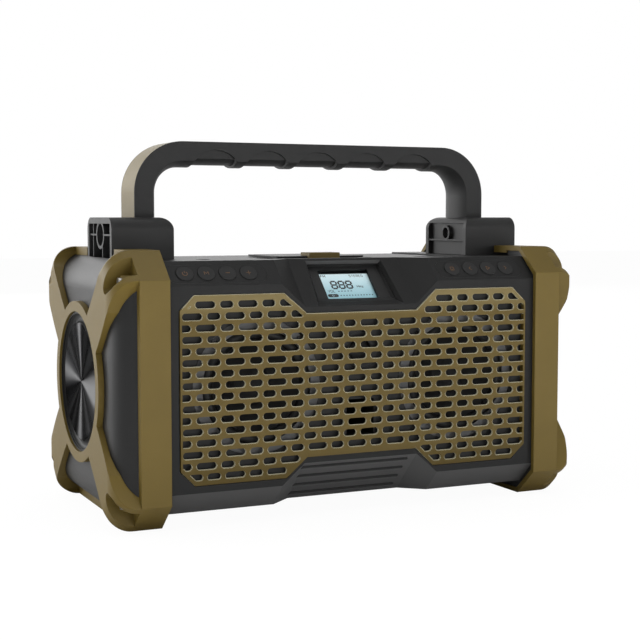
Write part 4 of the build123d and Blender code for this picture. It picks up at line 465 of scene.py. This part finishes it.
def segment_digit(x, y, w, h):
    """Seven-segment 8 with its lower left corner at x, y."""
    gap = SEGMENT_GAP
    level = [line(SEGMENT_LINE, (x + gap, row), (x + w - gap, row)) for row in (y, y + h / 2, y + h)]
    upright = [line(SEGMENT_LINE, (column, foot + gap), (column, foot + h / 2 - gap))
               for column in (x, x + w) for foot in (y, y + h / 2)]
    return level + upright


# each letter is a list of strokes, up to 2 high
GLYPHS = {
    "F": [[(0, 0), (0, 2), (1.2, 2)], [(0, 1), (1, 1)]],
    "M": [[(0, 0), (0, 2), (0.8, 0.9), (1.6, 2), (1.6, 0)]],
    "H": [[(0, 0), (0, 2)], [(1.2, 0), (1.2, 2)], [(0, 1), (1.2, 1)]],
    "z": [[(0, 1.3), (1.1, 1.3), (0, 0), (1.1, 0)]],
    "V": [[(0, 2), (0.7, 0), (1.4, 2)]],
    "O": [[(0, 0), (1.2, 0), (1.2, 2), (0, 2), (0, 0)]],
    "L": [[(0, 2), (0, 0), (1.1, 0)]],
    "S": [[(1.2, 2), (0, 2), (0, 1), (1.2, 1), (1.2, 0), (0, 0)]],
    "T": [[(0.6, 0), (0.6, 2)], [(0, 2), (1.2, 2)]],
    "E": [[(1.2, 2), (0, 2), (0, 0), (1.2, 0)], [(0, 1), (1, 1)]],
    "R": [[(0, 0), (0, 2), (1.2, 2), (1.2, 1), (0, 1)], [(0.5, 1), (1.2, 0)]],
}


def word(text, x, y, size, width):
    """Letters of height size, the first with its lower left corner at x, y."""
    strokes = []
    for letter in text:
        for glyph in GLYPHS[letter]:
            strokes.append(line(width, *[(x + px * size / 2, y + py * size / 2) for px, py in glyph]))
        x += size * (1.15 if letter == "M" else 0.95)
    return strokes


def metres(points):
    return [(x / 1000, y / 1000) for x, y in points]


def stroke(mesh, points, width, thick, closed=False):
    """Ribbon of one width along flat points, raised by thick."""
    pts = [Vector(point) for point in points]
    count = len(pts)
    sides = []
    for i, p in enumerate(pts):
        before = pts[i - 1] if (i > 0 or closed) else None
        after = pts[(i + 1) % count] if (i < count - 1 or closed) else None
        a = (p - before).normalized() if before is not None else (after - p).normalized()
        b = (after - p).normalized() if after is not None else a
        direction = (a + b).normalized() if (a + b).length > 1e-6 else a
        normal = Vector((-direction.y, direction.x))
        stretch = 1.0 / max(SHARPEST_MITRE, normal.dot(Vector((-a.y, a.x))))
        sides.append((p + normal * width / 2 * stretch, p - normal * width / 2 * stretch))
    rings = []
    for left_side, right_side in sides:
        outline = ((left_side, 0.0), (left_side, thick), (right_side, thick), (right_side, 0.0))
        rings.append([mesh.verts.new((v.x, v.y, z)) for v, z in outline])
    for i in range(count if closed else count - 1):
        a, b = rings[i], rings[(i + 1) % count]
        for k in range(4):
            mesh.faces.new((a[k], a[(k + 1) % 4], b[(k + 1) % 4], b[k]))
    if not closed:
        mesh.faces.new(rings[0])
        mesh.faces.new(list(reversed(rings[-1])))


def patch(mesh, points, thick):
    """Filled flat outline, raised by thick."""
    low = [mesh.verts.new((x, y, 0.0)) for x, y in points]
    high = [mesh.verts.new((x, y, thick)) for x, y in points]
    mesh.faces.new(high)
    mesh.faces.new(list(reversed(low)))
    for i in range(len(points)):
        k = (i + 1) % len(points)
        mesh.faces.new((low[i], low[k], high[k], high[i]))


def marks(name, strokes, matrix, mat, body, patches=()):
    """One thin piece made of strokes and filled patches."""
    mesh = bmesh.new()
    for points, width, closed in strokes:
        stroke(mesh, metres(points), width / 1000, MARK_THICK, closed)
    for points in patches:
        patch(mesh, metres(points), MARK_THICK)
    bmesh.ops.recalc_face_normals(mesh, faces=mesh.faces)
    data = bpy.data.meshes.new(name)
    mesh.to_mesh(data)
    mesh.free()
    data.transform(matrix)
    data.materials.append(mat)
    obj = bpy.data.objects.new(name, data)
    scene.collection.objects.link(obj)
    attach(obj, body)


# ---- keys and their symbols ---------------------------------------------------------------------
SYMBOLS = {
    "key_power": [line(KEY_LINE, *arc(0, 0, 1.75, 130, 410)), line(KEY_LINE, (0, 0.6), (0, 2.3))],
    "key_mode": [line(KEY_LINE, (-1.5, -1.3), (-1.5, 1.3), (0, -0.2), (1.5, 1.3), (1.5, -1.3))],
    "key_minus": [line(KEY_LINE, (-1.6, 0), (1.6, 0))],
    "key_plus": [line(KEY_LINE, (-1.7, 0), (1.7, 0)), line(KEY_LINE, (0, -1.7), (0, 1.7))],
    "key_source": [loop(KEY_LINE, (-1.3, -1.5), (1.3, -1.5), (1.3, 1.5), (-1.3, 1.5)),
                   line(KEY_LINE, (-0.5, -0.7), (0.5, -0.7))],
    "key_previous": [line(KEY_LINE, (0.8, -1.6), (-0.8, 0), (0.8, 1.6))],
    "key_play": [loop(KEY_LINE, (-1.1, -1.6), (1.6, 0), (-1.1, 1.6))],
    "key_next": [line(KEY_LINE, (-0.8, -1.6), (0.8, 0), (-0.8, 1.6))],
}
symbol_ink = ink("symbol_ink", srgb(116, 80, 44))
for key, symbol in SYMBOLS.items():
    marks(key + "_symbol", symbol, face_on_slope(key), symbol_ink, key.replace("key_", "button_"))

# ---- display picture, drawn from its middle -----------------------------------------------------
PICTURE_RIGHT = 0.0003  # of the panel's middle, in metres
PICTURE_UP = 0.0007
DIGIT_PITCH = 6.0
BADGE_LEFT, BADGE_RIGHT, BADGE_Y = -16.4, -11.0, -9.2  # middles of the badge's round ends

picture = []
for i in range(3):
    picture += segment_digit(-11.8 + i * DIGIT_PITCH, -2.4, w=4.1, h=6.8)
picture += word("MHz", 8.0, -1.9, size=1.9, width=0.36)
picture += word("FM", -17.8, 8.6, size=2.0, width=0.4)
picture += word("VOL", -16.4, -6.0, size=2.2, width=0.32)
picture += dashes(5, -8.6, -5.1, pitch=2.5, length=1.2, width=0.7)
picture += dashes(12, -8.0, BADGE_Y, pitch=2.3, length=1.0, width=0.8)
badge = arc(BADGE_RIGHT, BADGE_Y, 1.5, -90, 90, 8) + arc(BADGE_LEFT, BADGE_Y, 1.5, 90, 270, 8)
badge_ring = arc((BADGE_LEFT + BADGE_RIGHT) / 2, BADGE_Y, 0.7, 0, 360, 12)[:-1]

state = word("STEREO", 5.2, 8.5, size=2.0, width=0.3)

on_panel = face_on_slope("display_panel", PICTURE_RIGHT, PICTURE_UP)
on_badge = face_on_slope("display_panel", PICTURE_RIGHT, PICTURE_UP, MARK_THICK)
lcd_ink = ink("lcd_ink", srgb(5, 7, 8))
grey_ink = ink("lcd_grey", srgb(96, 112, 116))
pale_ink = ink("lcd_pale", srgb(150, 170, 174))
marks("display_picture", picture, on_panel, lcd_ink, "radio_body", patches=[badge])
marks("display_state", state, on_panel, grey_ink, "radio_body")
marks("display_badge", [loop(0.3, *badge_ring)], on_badge, pale_ink, "radio_body")


# ---- each node gets its material ----------------------------------------------------------------
def dress(mat, *names):
    for name in names:
        slots = nodes[name].data.materials
        slots.clear()
        slots.append(mat)


guard_tan = moulded("guard_tan", srgb(114, 96, 44), rough=0.46, grain=2.4, bump=0.22, edge=0.0005, edge_wear_and_highlight=0.3)
inlay_tan = moulded("inlay_tan", srgb(120, 105, 62), rough=0.44, grain=2.6, bump=0.15, edge=0.0003, edge_wear_and_highlight=0.2)
cap_charcoal = moulded("cap_charcoal", grey(42), rough=0.4, edge_wear_and_highlight=0.2)
foot_charcoal = moulded("foot_charcoal", grey(52), rough=0.46)
grip_charcoal = moulded("grip_charcoal", grey(46), grain=2.8, edge=0.0005, edge_wear_and_highlight=0.2)
inner_black = moulded("inner_black", grey(36), grain=2.4, bump=0.2, edge=0.0003, edge_wear_and_highlight=0.15)
driver_grey = moulded("driver_grey", srgb(88, 88, 89), rough=0.4, grain=3.0, bump=0.12, edge=0.0003, edge_wear_and_highlight=0.3)
cell_sleeve = moulded("cell_sleeve", srgb(40, 78, 130), rough=0.3, grain=1.2, bump=0.05, edge_wear_and_highlight=0.05)
board_green = moulded("board_green", srgb(24, 74, 48), rough=0.35, grain=0.8, bump=0.1, edge_wear_and_highlight=0.1)
zinc = metal("zinc", grey(205), 0.28, scale=2.5)
dark_steel = metal("dark_steel", grey(58), 0.42, scale=2.5)
aluminium = metal("aluminium", srgb(170, 172, 176), 0.35, stretch=(0.1, 1, 1))

dress(guard_tan, "left_guard", "right_guard", "lid_latch")
dress(inlay_tan, "handle_strip")
dress(grille_coat(), "front_grille")
dress(bezel_black(), "display_bezel")
dress(housing_charcoal(), "front_housing", "rear_housing", "left_key_plate", "right_key_plate", "port_lid")
dress(foot_charcoal, "left_handle_foot", "right_handle_foot")
dress(cap_charcoal, "left_end_cap", "right_end_cap")
dress(grip_charcoal, "handle_grip")
dress(inner_black, "speaker_baffle", "port_tray", "bass_port", "tweeter_frame", "battery_cradle",
      "left_radiator_frame", "right_radiator_frame")
dress(rubber("key_rubber", grey(45)), *SYMBOLS)
dress(rubber("soft_black", grey(38), 0.5), "left_radiator_surround", "right_radiator_surround",
      "left_woofer_surround", "right_woofer_surround")
dress(rubber("cone_black", grey(36), 0.55), "left_woofer_cone", "right_woofer_cone", "tweeter_dome")
dress(driver_grey, "left_woofer_basket", "right_woofer_basket", "left_woofer_magnet", "right_woofer_magnet")
dress(spun_disc(), "left_radiator", "right_radiator")
dress(aluminium, "heat_sink")
dress(lcd_glass(), "display_window")
dress(lcd_panel(), "display_panel")
dress(board_green, "main_board", "left_key_board", "right_key_board")
dress(cell_sleeve, "battery_cells")
dress(dark_steel, "speaker_screws", "top_screws")
dress(zinc, "guard_screws", "cap_screws", "housing_screws", "foot_screws", "handle_bolts", "lid_hinge_pin",
      "port_sockets")

# ---- floor --------------------------------------------------------------------------------------
FLOOR_HALF = 6.0
FLOOR_GLOW = 1.022  # with the lit floor's share, the floor comes out about white
FLOOR_GLOW_SHARE = 0.94  # the rest is the lit floor, which carries the object's shadow

corners = [(-FLOOR_HALF, -FLOOR_HALF, 0), (FLOOR_HALF, -FLOOR_HALF, 0),
           (FLOOR_HALF, FLOOR_HALF, 0), (-FLOOR_HALF, FLOOR_HALF, 0)]
floor_data = bpy.data.meshes.new("floor")
floor_data.from_pydata(corners, [], [(0, 1, 2, 3)])
floor = bpy.data.objects.new("floor", floor_data)
scene.collection.objects.link(floor)
floor_mat, floor_tree, floor_shader = fresh("floor_white")
floor_shader.inputs["Roughness"].default_value = 0.8
floor_grain = noise(floor_tree, coords(floor_tree), 0.4, 3.0)
floor_white = ramp(floor_tree, floor_grain, (0.3, (0.80, 0.80, 0.80, 1)), (0.7, (0.84, 0.84, 0.84, 1)))
floor_tree.links.new(floor_white, floor_shader.inputs["Base Color"])
floor_data.materials.append(floor_mat)
floor_glow = floor_tree.nodes.new("ShaderNodeEmission")
floor_glow.inputs["Strength"].default_value = FLOOR_GLOW
floor_path = floor_tree.nodes.new("ShaderNodeLightPath")
floor_seen = times(floor_tree, floor_path.outputs["Is Camera Ray"], FLOOR_GLOW_SHARE)
shader_switch(floor_tree, floor_seen, floor_shader, floor_glow, floor_tree.nodes["Material Output"])


# ---- light --------------------------------------------------------------------------------------
LIGHTING_LEVEL = 0.4  # of the white all round, where it only lights
SEEN_LEVEL = 1.0  # where the camera sees it, also through the glass


def backdrop(tree, strength):
    """White light from all round."""
    node = tree.nodes.new("ShaderNodeBackground")
    node.inputs["Color"].default_value = WHITE
    node.inputs["Strength"].default_value = strength
    return node


world = bpy.data.worlds.new("studio")
scene.world = world
world.use_nodes = True
world_tree = world.node_tree
world_tree.nodes.clear()
world_path = world_tree.nodes.new("ShaderNodeLightPath")
world_seen = maths(world_tree, "MAXIMUM", world_path.outputs["Is Camera Ray"],
                   world_path.outputs["Is Transmission Ray"])
shader_switch(world_tree, world_seen, backdrop(world_tree, LIGHTING_LEVEL),
              backdrop(world_tree, SEEN_LEVEL), world_tree.nodes.new("ShaderNodeOutputWorld"))


def lamp(name, place, target, size, power, spread_deg=180):
    """Rectangular lamp of a size in metres and a power in watts that points at target."""
    data = bpy.data.lights.new(name, "AREA")
    data.shape = "RECTANGLE"
    data.size, data.size_y = size
    data.energy = power
    data.spread = math.radians(spread_deg)
    obj = bpy.data.objects.new(name, data)
    obj.location = place
    direction = Vector(target) - Vector(place)
    obj.rotation_euler = direction.to_track_quat("-Z", "Y").to_euler()
    obj.visible_camera = False
    scene.collection.objects.link(obj)


lamp("left_box", (-1.5, 1.3, 0.6), target=(0, 0, 0.1), size=(1.5, 1.0), power=24)
lamp("top_box", (-0.1, 0.35, 1.9), target=(0, 0, 0.1), size=(1.8, 1.4), power=8)
lamp("front_box", (0.8, -2.1, 0.45), target=(0, 0, 0.12), size=(1.8, 0.7), power=7)
lamp("back_box", (0.3, 2.6, 0.9), target=(0, 0, 0.15), size=(3.2, 1.4), power=26)
lamp("floor_box", (0.1, -0.75, 0.9), target=(0.1, -0.7, 0), size=(1.4, 0.6), power=8, spread_deg=60)

# ---- camera -------------------------------------------------------------------------------------
CAMERA_PLACE = (-0.42468, -0.93494, 0.2126)
CAMERA_DOWN = 4.403  # degrees below the horizon
CAMERA_TURN = 24.895  # degrees from straight on, clockwise from above

camera_data = bpy.data.cameras.new("camera")
camera_data.lens = 75.0
camera_data.sensor_width = 36.0
camera_data.sensor_fit = "HORIZONTAL"
camera_data.clip_start = 0.01
camera = bpy.data.objects.new("camera", camera_data)
camera.location = CAMERA_PLACE
camera.rotation_euler = (math.radians(90 - CAMERA_DOWN), 0, math.radians(-CAMERA_TURN))
scene.collection.objects.link(camera)
scene.camera = camera
scene.view_settings.view_transform = "Standard"
